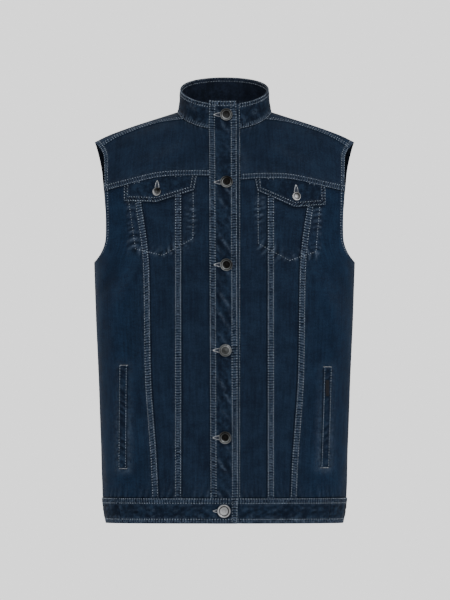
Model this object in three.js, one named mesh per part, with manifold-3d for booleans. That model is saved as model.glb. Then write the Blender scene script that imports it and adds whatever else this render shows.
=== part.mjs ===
// A sleeveless denim vest with a stand collar, filled out as it is worn. Millimetres, +Z up, front facing -Y.
// The origin lies midway between the two points where the shoulders meet the collar.
// "right" and "left" in the names are the wearer's, so right is at -X.
import * as THREE from 'three';
import { mergeVertices } from 'three/addons/utils/BufferGeometryUtils.js';
import Module from 'manifold-3d';

const wasm = await Module();
wasm.setup();

// Cloth walls, as heights over the outer face of the body panels
const PANEL = { inner: -1.6, outer: 0 };
const COLLAR = { inner: -2.2, outer: 0.4 };
const BUTTON_BAND = { inner: -2, outer: 0 };
const PLACKET = { inner: 0.5, outer: 2.7 };
const WAISTBAND = { inner: -1.3, outer: 1.7 };
const FLAP = { inner: 0.5, outer: 2.5 };
const WELT = { inner: 0.5, outer: 2.5 };
const TAB = { inner: 2.9, outer: 3.9 };
const POCKET_BAG = { inner: -3.8, outer: -2.8 };

const SEAM_GAP = 0.3;
const FORM_POWER = 2.3; // of the rounded-square sections: 2 would be an ellipse

// Sections of the body: half width, and how far the front and the back stand off the middle
const SECTIONS = [
  { z: 60, half: 220, front: 88, back: 110 },
  { z: 0, half: 220, front: 89, back: 112 },
  { z: -50, half: 218, front: 96, back: 117 },
  { z: -100, half: 215, front: 108, back: 121 },
  { z: -150, half: 212, front: 118, back: 121 },
  { z: -240, half: 208.8, front: 125, back: 118 },
  { z: -330, half: 205.8, front: 121, back: 112 },
  { z: -430, half: 201.4, front: 115, back: 109 },
  { z: -540, half: 197.8, front: 113, back: 110 },
  { z: -612, half: 195.4, front: 113, back: 111 },
  { z: -640, half: 192, front: 112, back: 110 },
  { z: -657, half: 188.6, front: 110.5, back: 108.5 },
];

// Height of the shoulder's crest at each distance from the middle
const SHOULDER_CREST = [
  { x: 74, z: 1.6 },
  { x: 100, z: -6.7 },
  { x: 145, z: -21.3 },
  { x: 184, z: -35.7 },
  { x: 204, z: -45.3 },
  { x: 216, z: -52 },
];
const CREST_SETBACK = 25; // how far behind the middle the crest lies beside the neck
const CREST_REACH = 208; // the crest comes to the middle here
const SETBACK_TOP = -50; // the setback is whole above this height
const SHOULDER_FOOT = -150; // the shoulders' rounding ends at this height
const SHOULDER_ARC = 90; // levels from the crest down to the foot, and one a millimetre below it

// The neck seam and the collar's top edge: ovals with a half width, a front and a back
const NECK = { half: 74, front: 62, back: 64, side: -0.5, frontDrop: 28, backRise: 15, turnIn: 14 };
const COLLAR_TOP = { half: 70.6, front: 58, back: 60, side: 38, slope: 0.38, sag: 0.0009 };
const COLLAR_OPENING = { right: 17, left: 25.3 }; // the ends of the front pieces beside the middle

// Armhole edges: levels run down from the crest
const FRONT_ARMHOLE = [
  { level: 32, x: 199 },
  { level: 45, x: 193.6 },
  { level: 54, x: 192.6 },
  { level: 78, x: 191.8 },
  { level: 90, x: 190.8 },
  { level: 120, x: 190 },
  { level: 143, x: 190.6 },
  { level: 155, x: 193.4 },
  { level: 167, x: 199 },
  { level: 175, x: 204.4 },
];
const BACK_ARMHOLE = [
  { level: -32, x: 199.4 },
  { level: -16, x: 205.6 },
  { level: 0, x: 208 },
  { level: 16, x: 207 },
  { level: 32, x: 204.4 },
  { level: 45, x: 201.4 },
  { level: 60, x: 197.6 },
  { level: 75, x: 195 },
  { level: 90, x: 192.2 },
  { level: 120, x: 190.2 },
  { level: 143, x: 191 },
  { level: 155, x: 194 },
  { level: 167, x: 199.4 },
  { level: 175, x: 204.6 },
];
const UNDERARM = 180; // level of the side seam's top

// Seams of the fronts, each side with its own heights
const SHOULDER_SEAM = [
  { x: 64.8, z: -10.6 },
  { x: 82, z: -12.6 },
  { x: 110, z: -17.6 },
  { x: 145, z: -29 },
  { x: 175, z: -42 },
  { x: 199, z: -57 },
];
const YOKE_SEAM = [
  { x: 17, right: -100.8, left: -107.6 },
  { x: 50, right: -100.4, left: -105.2 },
  { x: 87, right: -101.4, left: -105 },
  { x: 110, right: -103.8, left: -106.8 },
  { x: 140, right: -111, left: -113.2 },
  { x: 162, right: -116.8, left: -118.6 },
  { x: 193, right: -125, left: -125.2 },
];
const INNER_SEAM = 73.2;
const OUTER_SEAM = [
  { z: -100, x: 140 },
  { z: -146, x: 136.7 },
  { z: -175, x: 132.4 },
  { z: -210, x: 127.4 },
  { z: -252, x: 124.2 },
  { z: -364, x: 122.6 },
  { z: -431, x: 121 },
  { z: -490, x: 117 },
  { z: -548, x: 112.8 },
  { z: -616, x: 109.4 },
];

// The fastening strips and the waistband
const PLACKET_EDGES = [
  { z: 20, free: 18.9, sewn: -25.1 },
  { z: -616, free: 21.4, sewn: -22.7 },
];
const PLACKET_TOP = 17.7;
const PLACKET_SHIFT = 0.4; // the strips stand this much further off the collar than off the body
const WAIST = { top: -616, bottom: -656.6, join: 169.6, freeEnd: 21.2, underEnd: -18 };
const WAIST_STEP = { over: 1.4, under: -2, width: 10 }; // how the lapped ends part

// Chest flaps and the pocket bags behind them, from their inner to their outer edge
const FLAPS = {
  right: {
    innerTop: 43.4, innerFoot: 48.2, tip: 108.2, outer: 159.8,
    innerZ: -125, tipZ: -144.2, outerZ: -142.1,
  },
  left: {
    innerTop: 48.2, innerFoot: 52, tip: 111.5, outer: 160.3,
    innerZ: -125.8, tipZ: -152, outerZ: -148.2,
  },
};
const CHEST_BAGS = {
  right: {
    inner: 50.3, tip: 99, outerTop: 156, outer: 142,
    innerZ: -202, tipZ: -228.8, outerZ: -218.7,
  },
  left: {
    inner: 54, tip: 103.7, outerTop: 154.5, outer: 145.8,
    innerZ: -210, tipZ: -237, outerZ: -222.9,
  },
};

// Hand pockets: upright welts and the bags behind them
const WELTS = {
  right: { top: -404.5, bottom: -568.8, xTop: 160.7, xBottom: 161.8, width: 12 },
  left: { top: -407, bottom: -567.4, xTop: 164.2, xBottom: 159.4, width: 12 },
};
const HAND_BAG = { inner: 86, outer: 174, top: -398, bottom: -598 };
const BLANK_TAB = { inner: 159.6, outer: 165.2, top: -427.7, bottom: -453.3 };

// Buttons: a dished head on a post that passes through the upper cloth to the cloth below
const BUTTON_SIDES = 20;
const BUTTON_FLOAT = 0.4;
const POST = { radius: 2.6, eye: 3, eyeSides: 14, eyeLength: 16 };
const PLACKET_BUTTONS = [
  { x: 2.7, z: -3.7 },
  { x: 3.2, z: -113 },
  { x: 2.9, z: -243.8 },
  { x: 1.4, z: -380 },
  { x: 1, z: -519.5 },
];
const PLACKET_BUTTON = { radius: 10, height: 3.4 };
// The head's outline from its underside to its dished middle, as shares of its radius and height
const HEAD_OUTLINE = [
  { out: 0.9, up: 0.1 },
  { out: 1, up: 0.4 },
  { out: 0.97, up: 0.85 },
  { out: 0.86, up: 1 },
  { out: 0.7, up: 0.72 },
  { out: 0, up: 0.6 },
];
const WAIST_BUTTON = { x: -0.8, z: -636.3, radius: 10.7, height: 3.4 };
const FLAP_BUTTON = { radius: 7, height: 2.8 };
const FLAP_BUTTON_PLACES = {
  right: { x: -107, z: -128.2 },
  left: { x: 113.8, z: -135.4 },
};

// Soft troughs in the cloth of the sides and the back: turn is degrees round from the front's middle
const FOLDS = [
  { turn: 128, z: -330, spread: 9, length: 120, depth: 2.6 },
  { turn: -132, z: -300, spread: 9, length: 130, depth: 2.8 },
  { turn: 152, z: -470, spread: 8, length: 110, depth: 2.4 },
  { turn: -158, z: -450, spread: 8, length: 120, depth: 2.2 },
  { turn: 178, z: -210, spread: 10, length: 90, depth: 2 },
];

const DENIM = new THREE.Color(0.022, 0.045, 0.085);
const DENIM_WORN = new THREE.Color(0.03, 0.052, 0.085);
const POCKETING = new THREE.Color(0.03, 0.035, 0.045);
const GUNMETAL = new THREE.Color(0.16, 0.16, 0.17);
const STEEL = new THREE.Color(0.6, 0.61, 0.63);
const TAB_CLOTH = new THREE.Color(0.02, 0.022, 0.03);
const CLOTH_FINISH = { roughness: 0.85, metalness: 0 };
const METAL_FINISH = { roughness: 0.3, metalness: 0.9 };

const lerp = THREE.MathUtils.lerp;
const clamp = THREE.MathUtils.clamp;
const smoothstep = THREE.MathUtils.smoothstep;

// The value of a table's column at a place along its key column, on a smooth curve through its rows
function read(table, key, column, at) {
  const rising = table[1][key] > table[0][key];
  const along = (row) => (rising ? row[key] : -row[key]);
  const place = clamp(rising ? at : -at, along(table[0]), along(table.at(-1)));
  let i = 0;
  while (i < table.length - 2 && place > along(table[i + 1])) i++;
  const slope = (j) => {
    const before = table[Math.max(j - 1, 0)];
    const after = table[Math.min(j + 1, table.length - 1)];
    return (after[column] - before[column]) / (along(after) - along(before));
  };
  const width = along(table[i + 1]) - along(table[i]);
  const t = (place - along(table[i])) / width;
  const rest = 1 - t;
  return (
    rest * rest * (1 + 2 * t) * table[i][column] +
    t * t * (3 - 2 * t) * table[i + 1][column] +
    width * t * rest * (rest * slope(i) - t * slope(i + 1))
  );
}

const raised = (value) => Math.max(value, 0) ** FORM_POWER;
const rooted = (value) => Math.max(value, 0) ** (1 / FORM_POWER);

// The neck seam: its distance from the middle line and its height
function neckReach(x, front) {
  return (front ? NECK.front : NECK.back) * Math.sqrt(Math.max(1 - (x / NECK.half) ** 2, 0));
}
function neckHeight(y) {
  if (y > 0) return NECK.side + NECK.backRise * (y / NECK.back) ** 2;
  const bent = (reach) => Math.hypot(reach, NECK.turnIn) - NECK.turnIn;
  return NECK.side - (NECK.frontDrop * bent(y)) / bent(NECK.front);
}

// The body's form. Between the neck seam's ends its crest is set so that the form passes through the seam.
function setback(x, z) {
  const acrossShoulder = 1 - smoothstep(Math.abs(x), NECK.half, CREST_REACH);
  return CREST_SETBACK * acrossShoulder * smoothstep(z, SHOULDER_FOOT, SETBACK_TOP);
}
function depth(x, z, front) {
  const behind = setback(x, z);
  return front ? read(SECTIONS, 'z', 'front', z) + behind : read(SECTIONS, 'z', 'back', z) - behind;
}
function across(x, z) {
  return 1 - raised(Math.abs(x) / read(SECTIONS, 'z', 'half', z));
}
function crest(x, front) {
  if (Math.abs(x) >= NECK.half) return read(SHOULDER_CREST, 'x', 'z', Math.abs(x));
  const y = neckReach(x, front) * (front ? -1 : 1);
  const z = neckHeight(y);
  const stand = Math.max((front ? -1 : 1) * (y - setback(x, z)), 0);
  const share = stand / (depth(x, z, front) * rooted(across(x, z)));
  return SHOULDER_FOOT + (z - SHOULDER_FOOT) / rooted(1 - raised(share));
}
function shoulderShare(x, z, front) {
  return Math.max((z - SHOULDER_FOOT) / (crest(x, front) - SHOULDER_FOOT), 0);
}

// Levels count down from the crest: degrees of the shoulder's rounding, then millimetres
function heightAt(x, level, front) {
  if (level > SHOULDER_ARC) return SHOULDER_FOOT - (level - SHOULDER_ARC);
  const share = Math.cos(THREE.MathUtils.degToRad(level)) ** (2 / FORM_POWER);
  return SHOULDER_FOOT + (crest(x, front) - SHOULDER_FOOT) * share;
}
function levelAt(x, z, front) {
  if (z < SHOULDER_FOOT) return SHOULDER_ARC + SHOULDER_FOOT - z;
  const share = Math.min(shoulderShare(x, z, front), 1);
  return THREE.MathUtils.radToDeg(Math.acos(share ** (FORM_POWER / 2)));
}

// Turns run round the body: 0 at the front's middle, 90 at the left side, 180 at the back's middle
function turnOf(x, z) {
  const share = clamp(Math.abs(x) / read(SECTIONS, 'z', 'half', z), 0, 1);
  return THREE.MathUtils.radToDeg(Math.asin(share ** (FORM_POWER / 2))) * Math.sign(x);
}
function xOf(turn, z) {
  const sine = Math.sin(THREE.MathUtils.degToRad(turn));
  return Math.sign(sine) * Math.abs(sine) ** (2 / FORM_POWER) * read(SECTIONS, 'z', 'half', z);
}

// Less than zero inside the body's form and more than zero outside it
function outsideness(x, y, z, front) {
  const off = y - setback(x, z);
  const spread = raised(Math.abs(off) / depth(x, z, off < 0));
  return spread - across(x, z) * (1 - raised(shoulderShare(x, z, front)));
}
const NUDGE = 0.05;
function outward(x, y, z, front) {
  const slope = (dx, dy, dz) =>
    outsideness(x + dx, y + dy, z + dz, front) - outsideness(x - dx, y - dy, z - dz, front);
  return new THREE.Vector3(slope(NUDGE, 0, 0), slope(0, NUDGE, 0), slope(0, 0, NUDGE)).normalize();
}
function foldDepth(x, y, z) {
  const turn = THREE.MathUtils.radToDeg(Math.atan2(x, -y));
  let sunk = 0;
  for (const fold of FOLDS) {
    const aside = THREE.MathUtils.euclideanModulo(turn - fold.turn + 180, 360) - 180;
    sunk += fold.depth * Math.exp(-((aside / fold.spread) ** 2) - ((z - fold.z) / fold.length) ** 2);
  }
  return sunk;
}

// A point of the body's form, moved out along its normal
function bodyPoint(x, z, front, lift) {
  const stand = rooted(across(x, z)) * rooted(1 - raised(shoulderShare(x, z, front)));
  const y = setback(x, z) + depth(x, z, front) * stand * (front ? -1 : 1);
  const normal = outward(x, y, z, front);
  return new THREE.Vector3(x, y, z).addScaledVector(normal, lift - foldDepth(x, y, z));
}

// A point of the collar's form: rise is 0 at the neck seam and 1 at the top edge
function collarBase(angle, rise) {
  const sine = Math.sin(angle);
  const cosine = Math.cos(angle);
  const mix = (name) => lerp(NECK[name], COLLAR_TOP[name], rise);
  const y = -cosine * (cosine > 0 ? mix('front') : mix('back'));
  const seamZ = neckHeight(-cosine * (cosine > 0 ? NECK.front : NECK.back));
  const topZ = COLLAR_TOP.side + COLLAR_TOP.slope * y - COLLAR_TOP.sag * y * y;
  return new THREE.Vector3(mix('half') * sine, y, lerp(seamZ, topZ, rise));
}
const COLLAR_NUDGE = 0.01;
function collarOutward(angle, rise) {
  const round = collarBase(angle + COLLAR_NUDGE, rise).sub(collarBase(angle - COLLAR_NUDGE, rise));
  const up = collarBase(angle, rise + COLLAR_NUDGE).sub(collarBase(angle, rise - COLLAR_NUDGE));
  return round.cross(up).normalize();
}
function collarPoint(angle, rise, lift) {
  return collarBase(angle, rise).addScaledVector(collarOutward(angle, rise), lift);
}

// A closed wall between an outer and an inner grid of points
function wall(rows, columns, pointAt, heights) {
  const positions = [];
  for (const lift of [heights.outer, heights.inner]) {
    for (let r = 0; r < rows; r++) {
      for (let c = 0; c < columns; c++) positions.push(...pointAt(r, c, lift).toArray());
    }
  }
  const outer = (r, c) => r * columns + c;
  const inner = (r, c) => rows * columns + outer(r, c);
  const triangles = [];
  const quad = (a, b, c, d) => triangles.push(a, b, c, a, c, d);
  for (let r = 0; r + 1 < rows; r++) {
    for (let c = 0; c + 1 < columns; c++) {
      quad(outer(r, c), outer(r, c + 1), outer(r + 1, c + 1), outer(r + 1, c));
      quad(inner(r, c), inner(r + 1, c), inner(r + 1, c + 1), inner(r, c + 1));
    }
    quad(outer(r, 0), outer(r + 1, 0), inner(r + 1, 0), inner(r, 0));
    quad(outer(r + 1, columns - 1), outer(r, columns - 1), inner(r, columns - 1), inner(r + 1, columns - 1));
  }
  for (let c = 0; c + 1 < columns; c++) {
    quad(outer(0, c + 1), outer(0, c), inner(0, c), inner(0, c + 1));
    quad(outer(rows - 1, c), outer(rows - 1, c + 1), inner(rows - 1, c + 1), inner(rows - 1, c));
  }
  const geometry = new THREE.BufferGeometry();
  geometry.setAttribute('position', new THREE.Float32BufferAttribute(positions, 3));
  geometry.setIndex(triangles);
  return facingOut(geometry);
}

function facingOut(geometry) {
  const place = geometry.getAttribute('position');
  const index = geometry.getIndex();
  const corner = (i) => new THREE.Vector3().fromBufferAttribute(place, index.getX(i));
  let volume = 0;
  for (let i = 0; i < index.count; i += 3) volume += corner(i).cross(corner(i + 1)).dot(corner(i + 2));
  if (volume < 0) {
    for (let i = 0; i < index.count; i += 3) {
      const swapped = index.getX(i + 1);
      index.setX(i + 1, index.getX(i + 2));
      index.setX(i + 2, swapped);
    }
  }
  return geometry;
}

// A body piece: its columns give x at a level and height, its rows give the level at an x.
// Each crossing is found by going back and forth between its column and its row.
const SEARCH_START = 100;
const SEARCH_PASSES = 40;
function bodyPiece(columns, rows, heights, front = true) {
  const places = rows.map((row) =>
    columns.map((column) => {
      let x = SEARCH_START;
      let level = row(x);
      for (let pass = 0; pass < SEARCH_PASSES; pass++) {
        x = column(level, heightAt(x, Math.abs(level), front || level < 0));
        level = row(x);
      }
      const facing = front || level < 0;
      return { x, z: heightAt(x, Math.abs(level), facing), facing };
    }),
  );
  const pointAt = (r, c, lift) => {
    const { x, z, facing } = places[r][c];
    return bodyPoint(x, z, facing, lift);
  };
  return wall(rows.length, columns.length, pointAt, heights);
}

function steps(count, from = 0, to = 1) {
  return Array.from({ length: count + 1 }, (_, i) => lerp(from, to, i / count));
}

// Columns between two edges, evenly turned round the body
function columnsBetween(inner, outer, shares) {
  return shares.map((share) => (level, z) => {
    const from = turnOf(inner(level, z), z);
    const to = turnOf(outer(level, z), z);
    return xOf(lerp(from, to, share), z);
  });
}
function rowsBetween(top, bottom, shares) {
  return shares.map((share) => (x) => lerp(top(x), bottom(x), share));
}
const heightRow = (z) => () => levelAt(0, z, true);

// Seams as columns and rows on one side: facing is -1 on the right and 1 on the left
const sides = [
  { name: 'right', facing: -1 },
  { name: 'left', facing: 1 },
];
const SIDE_CLEARANCE = 0.2;
function sideSeamX(z, front) {
  const slack = (SIDE_CLEARANCE / depth(0, z, front)) ** (FORM_POWER / 2);
  return xOf(90 - THREE.MathUtils.radToDeg(slack), z);
}
function armholeX(table, level, z, front) {
  if (level >= UNDERARM) return sideSeamX(z, front);
  const end = table.at(-1);
  if (level <= end.level) return read(table, 'level', 'x', level);
  return lerp(end.x, sideSeamX(z, front), (level - end.level) / (UNDERARM - end.level));
}
const mirrored = (facing, column) => (level, z) => facing * column(level, z);
const outerSeam = (offset) => (level, z) => read(OUTER_SEAM, 'z', 'x', z) + offset;
const innerSeam = (offset) => () => INNER_SEAM + offset;
const frontArmhole = (level, z) => armholeX(FRONT_ARMHOLE, level, z, true);
const yokeSeamRow = (side, offset) => (x) =>
  levelAt(x, read(YOKE_SEAM, 'x', side, Math.abs(x)) + offset, true);
const SHOULDER_SEAM_SLACK = 0.1; // in levels
function shoulderSeamLevel(x) {
  const reach = Math.max(Math.abs(x), SHOULDER_SEAM[0].x);
  return levelAt(reach, read(SHOULDER_SEAM, 'x', 'z', reach), true);
}

const HALF_GAP = SEAM_GAP / 2;
const WAIST_ROW = heightRow(WAIST.top + HALF_GAP);

// Shares of the way across each front piece, the same above and below the yoke seam
const ACROSS = { centre: steps(3), pocket: steps(3), side: steps(8) };

function frontColumns(side, piece) {
  const edge = () => COLLAR_OPENING[side.name];
  const spans = {
    centre: [edge, innerSeam(-HALF_GAP)],
    pocket: [innerSeam(HALF_GAP), outerSeam(-HALF_GAP)],
    side: [outerSeam(HALF_GAP), frontArmhole],
  };
  return columnsBetween(...spans[piece], ACROSS[piece]).map((column) => mirrored(side.facing, column));
}

// The upright through the neck opening that the front yokes and the back stop at
const NECK_CUT = { bottom: -70, length: 160, segments: 26 };
function neckCutter() {
  const oval = new THREE.Shape();
  const half = NECK.half + SEAM_GAP;
  oval.absellipse(0, 0, half, NECK.front + SEAM_GAP, Math.PI, 2 * Math.PI);
  oval.absellipse(0, 0, half, NECK.back + SEAM_GAP, 0, Math.PI);
  const options = { depth: NECK_CUT.length, bevelEnabled: false, curveSegments: NECK_CUT.segments };
  return new THREE.ExtrudeGeometry(oval, options).translate(0, 0, NECK_CUT.bottom);
}

const SAME_POINT = 1e-4;
function toSolid(geometry) {
  const bare = geometry.clone();
  bare.deleteAttribute('normal');
  bare.deleteAttribute('uv');
  const merged = mergeVertices(bare, SAME_POINT);
  return new wasm.Manifold(
    new wasm.Mesh({
      numProp: 3,
      vertProperties: new Float32Array(merged.getAttribute('position').array),
      triVerts: new Uint32Array(merged.getIndex().array),
    }),
  );
}
function cut(geometry, cutters) {
  let solid = toSolid(geometry);
  for (const cutter of cutters) solid = solid.subtract(toSolid(cutter));
  const mesh = solid.getMesh();
  const result = new THREE.BufferGeometry();
  result.setAttribute('position', new THREE.BufferAttribute(mesh.vertProperties, 3));
  result.setIndex(new THREE.BufferAttribute(mesh.triVerts, 1));
  return result;
}

// The front yokes, from the yoke seam up to the shoulder seam and the neck
const YOKE_ROWS = [0, 0.2, 0.4, 0.6, 0.8, 1];
function yoke(side) {
  const pocket = frontColumns(side, 'pocket').slice(0, -1);
  const sidePiece = frontColumns(side, 'side');
  const columns = [...frontColumns(side, 'centre').slice(0, -1), ...pocket, ...sidePiece];
  const top = (x) => shoulderSeamLevel(x) + SHOULDER_SEAM_SLACK;
  const rows = rowsBetween(top, yokeSeamRow(side.name, HALF_GAP), YOKE_ROWS);
  return cut(bodyPiece(columns, rows, PANEL), [neckCutter()]);
}

// The three pieces of each front below the yoke
const LOWER_LEVELS = [180, 215, 265, 325, 385, 445, 505];
const FRONT_LEVELS = [86.5, 95, 115, 145, ...LOWER_LEVELS];
const SIDE_LEVELS = [86.5, 95, 115, 145, 160, 172, ...LOWER_LEVELS];
function frontPiece(side, piece) {
  const levels = piece === 'side' ? SIDE_LEVELS : FRONT_LEVELS;
  const rows = [yokeSeamRow(side.name, -HALF_GAP), ...levels.map((level) => () => level), WAIST_ROW];
  return bodyPiece(frontColumns(side, piece), rows, PANEL);
}

// The back, one piece that wraps over the crest to the shoulder seams
const BACK_ACROSS = { centre: [0, 0.34, 0.67], pocket: [0, 1 / 3, 2 / 3], side: ACROSS.side };
const BACK_WRAP = [1, 0.5, 0];
const BACK_LEVELS = [10, 20, 32, 45, 60, 75, 90, 120, 145, 160, 172, ...LOWER_LEVELS];
function back() {
  const edge = (level, z) => armholeX(BACK_ARMHOLE, level, z, false);
  const middle = () => 0;
  const leftHalf = [
    ...columnsBetween(middle, innerSeam(HALF_GAP), BACK_ACROSS.centre),
    ...columnsBetween(innerSeam(HALF_GAP), outerSeam(HALF_GAP), BACK_ACROSS.pocket),
    ...columnsBetween(outerSeam(HALF_GAP), edge, BACK_ACROSS.side),
  ];
  const rightHalf = leftHalf.slice(1).reverse().map((column) => mirrored(-1, column));
  const seam = (x) => -(shoulderSeamLevel(x) - SHOULDER_SEAM_SLACK);
  const wrap = BACK_WRAP.map((share) => (x) => share * seam(x));
  const rows = [...wrap, ...BACK_LEVELS.map((level) => () => level), WAIST_ROW];
  return cut(bodyPiece([...rightHalf, ...leftHalf], rows, PANEL, false), [neckCutter()]);
}

// The collar, an open ring that ends beside the fastening strips
const COLLAR_COLUMNS = 36;
const COLLAR_ROWS = [0, 0.34, 0.67, 1];
function collar() {
  const from = Math.asin(COLLAR_OPENING.left / NECK.half);
  const to = 2 * Math.PI - Math.asin(COLLAR_OPENING.right / NECK.half);
  const pointAt = (r, c, lift) => {
    const angle = lerp(from, to, c / COLLAR_COLUMNS);
    const point = collarPoint(angle, COLLAR_ROWS[r], lift);
    point.z += r === 0 ? SEAM_GAP : 0;
    return point;
  };
  return wall(COLLAR_ROWS.length, COLLAR_COLUMNS + 1, pointAt, COLLAR);
}

// A strip up the front's middle: on the body below the neck seam and on the collar above it
const STRIP_HEIGHTS = [...steps(10, -600, -250), -220, -190, -160, -135];
const STRIP_NECK = [-115, -95, -75, -57, -42];
const STRIP_RISES = [0.2, 0.6];
const BAND_ACROSS = steps(4);
const PLACKET_ACROSS = steps(5);
function stripPoint(x, row, lift) {
  if (row.z !== undefined) return bodyPoint(x, row.z, true, lift);
  const angle = Math.asin(x / NECK.half);
  if (row.rise > 0) return collarPoint(angle, row.rise, lift + PLACKET_SHIFT);
  const seam = collarBase(angle, 0);
  const bisector = collarOutward(angle, 0).add(outward(seam.x, seam.y, seam.z, true)).normalize();
  return seam.addScaledVector(bisector, lift + PLACKET_SHIFT);
}
function strip(edges, shares, heights, topHeight) {
  const rows = [WAIST.top + HALF_GAP, ...STRIP_HEIGHTS, ...STRIP_NECK].map((z) => ({ z }));
  rows.push({ rise: 0 }, ...STRIP_RISES.map((rise) => ({ rise })));
  const seam = collarBase(0, 0).z;
  rows.push({ rise: (topHeight - seam) / (collarBase(0, 1).z - seam) });
  const rowHeight = (row) => row.z ?? lerp(seam, topHeight, row.rise);
  const pointAt = (r, c, lift) => {
    const [sewn, free] = edges(rowHeight(rows[r]));
    return stripPoint(lerp(sewn, free, shares[c]), rows[r], lift);
  };
  return wall(rows.length, shares.length, pointAt, heights);
}
const BAND_TOP = 12.5;
function buttonBand() {
  const edges = () => [-COLLAR_OPENING.right + SEAM_GAP, COLLAR_OPENING.left - SEAM_GAP];
  return strip(edges, BAND_ACROSS, BUTTON_BAND, BAND_TOP);
}
function placket() {
  const edges = (z) => [read(PLACKET_EDGES, 'z', 'sewn', z), read(PLACKET_EDGES, 'z', 'free', z)];
  const eyes = PLACKET_BUTTONS.map((button) => eyeCutter(onFront(button, 0)));
  return cut(strip(edges, PLACKET_ACROSS, PLACKET, PLACKET_TOP), eyes);
}

// The waistband in three lengths: its right end laps over its left end at the front
const WAIST_ROWS = [0, 0.4, 0.8, 1];
function waistband(turns, stepOut = () => 0) {
  const pointAt = (r, c, lift) => {
    const z = lerp(WAIST.top - HALF_GAP, WAIST.bottom, WAIST_ROWS[r]);
    const x = xOf(turns[c], z);
    const front = Math.cos(THREE.MathUtils.degToRad(turns[c])) > 0;
    return bodyPoint(x, z, front, lift + stepOut(x));
  };
  return wall(WAIST_ROWS.length, turns.length, pointAt, WAISTBAND);
}
const WAIST_PITCH = 6.5; // degrees of turn
function turnsBetween(from, to) {
  return steps(Math.ceil(Math.abs(to - from) / WAIST_PITCH), from, to);
}
function frontWaistband(side) {
  const overlaps = side.name === 'right';
  const end = overlaps ? WAIST.freeEnd : WAIST.underEnd;
  const parted = overlaps ? WAIST.underEnd : WAIST.freeEnd;
  const settled = parted + side.facing * WAIST_STEP.width;
  const step = overlaps ? WAIST_STEP.over : WAIST_STEP.under;
  const stepOut = (x) => step * (1 - clamp((side.facing * (x - parted)) / WAIST_STEP.width, 0, 1));
  const turnAt = (x) => turnOf(x, WAIST.top);
  const joinTurn = turnAt(side.facing * (WAIST.join - HALF_GAP));
  const lap = [turnAt(end), turnAt(lerp(end, parted, 0.5)), turnAt(parted)];
  const band = waistband([...lap, ...turnsBetween(turnAt(settled), joinTurn)], stepOut);
  return overlaps ? cut(band, [eyeCutter(onFront(WAIST_BUTTON, 0))]) : band;
}
function backWaistband() {
  const joinTurn = turnOf(WAIST.join + HALF_GAP, WAIST.top);
  return waistband([
    ...turnsBetween(joinTurn, 90).slice(0, -1),
    ...turnsBetween(90, 270).slice(0, -1),
    ...turnsBetween(270, 360 - joinTurn),
  ]);
}

// Overlaid pieces with a straight-sided outline that comes to a point below
const STEPS_TO_TIP = 4;
const FLAP_ROWS = 4;
const CHEST_BAG_ROWS = 6;
function pointedPiece(side, heights, outline) {
  const { inner, outer, rows, top, innerZ, tip, tipZ, outerZ } = outline;
  const foot = (x) => {
    const reach = Math.abs(x);
    return reach < tip
      ? lerp(innerZ, tipZ, clamp((reach - inner(1)) / (tip - inner(1)), 0, 1))
      : lerp(tipZ, outerZ, clamp((reach - tip) / (outer(1) - tip), 0, 1));
  };
  const tipShare = (tip - inner(1)) / (outer(1) - inner(1));
  const shares = [...steps(STEPS_TO_TIP, 0, tipShare), ...steps(STEPS_TO_TIP, tipShare, 1).slice(1)];
  const pointAt = (r, c, lift) => {
    const fall = r / rows;
    const x = side.facing * lerp(inner(fall), outer(fall), shares[c]);
    const topZ = heightAt(x, top(x), true);
    return bodyPoint(x, lerp(topZ, foot(x), fall), true, lift);
  };
  return wall(rows + 1, shares.length, pointAt, heights);
}
function flap(side) {
  const sizes = FLAPS[side.name];
  const shape = pointedPiece(side, FLAP, {
    ...sizes,
    inner: (fall) => lerp(sizes.innerTop, sizes.innerFoot, fall),
    outer: () => sizes.outer,
    top: yokeSeamRow(side.name, -SEAM_GAP),
    rows: FLAP_ROWS,
  });
  return cut(shape, [eyeCutter(onFront(FLAP_BUTTON_PLACES[side.name], 0))]);
}
function chestBag(side) {
  const sizes = CHEST_BAGS[side.name];
  return pointedPiece(side, POCKET_BAG, {
    ...sizes,
    inner: () => sizes.inner,
    outer: (fall) => lerp(sizes.outerTop, sizes.outer, fall),
    top: yokeSeamRow(side.name, -SEAM_GAP),
    rows: CHEST_BAG_ROWS,
  });
}

// Upright pieces on the side fronts
const WELT_GRID = { columns: 2, rows: 8 };
const HAND_BAG_GRID = { columns: 7, rows: 6 };
const TAB_GRID = { columns: 1, rows: 2 };
function uprightPiece(side, heights, { top, bottom, edges }, { columns, rows }) {
  const pointAt = (r, c, lift) => {
    const z = lerp(top, bottom, r / rows);
    const [inner, outer] = edges(r / rows);
    return bodyPoint(side.facing * lerp(inner, outer, c / columns), z, true, lift);
  };
  return wall(rows + 1, columns + 1, pointAt, heights);
}
function welt(side) {
  const sizes = WELTS[side.name];
  const edges = (fall) => {
    const middle = lerp(sizes.xTop, sizes.xBottom, fall);
    return [middle - sizes.width / 2, middle + sizes.width / 2];
  };
  return uprightPiece(side, WELT, { ...sizes, edges }, WELT_GRID);
}
function handBag(side) {
  const edges = () => [HAND_BAG.inner, HAND_BAG.outer];
  return uprightPiece(side, POCKET_BAG, { ...HAND_BAG, edges }, HAND_BAG_GRID);
}
function blankTab() {
  const edges = () => [BLANK_TAB.inner, BLANK_TAB.outer];
  return uprightPiece(sides[1], TAB, { ...BLANK_TAB, edges }, TAB_GRID);
}

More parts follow.
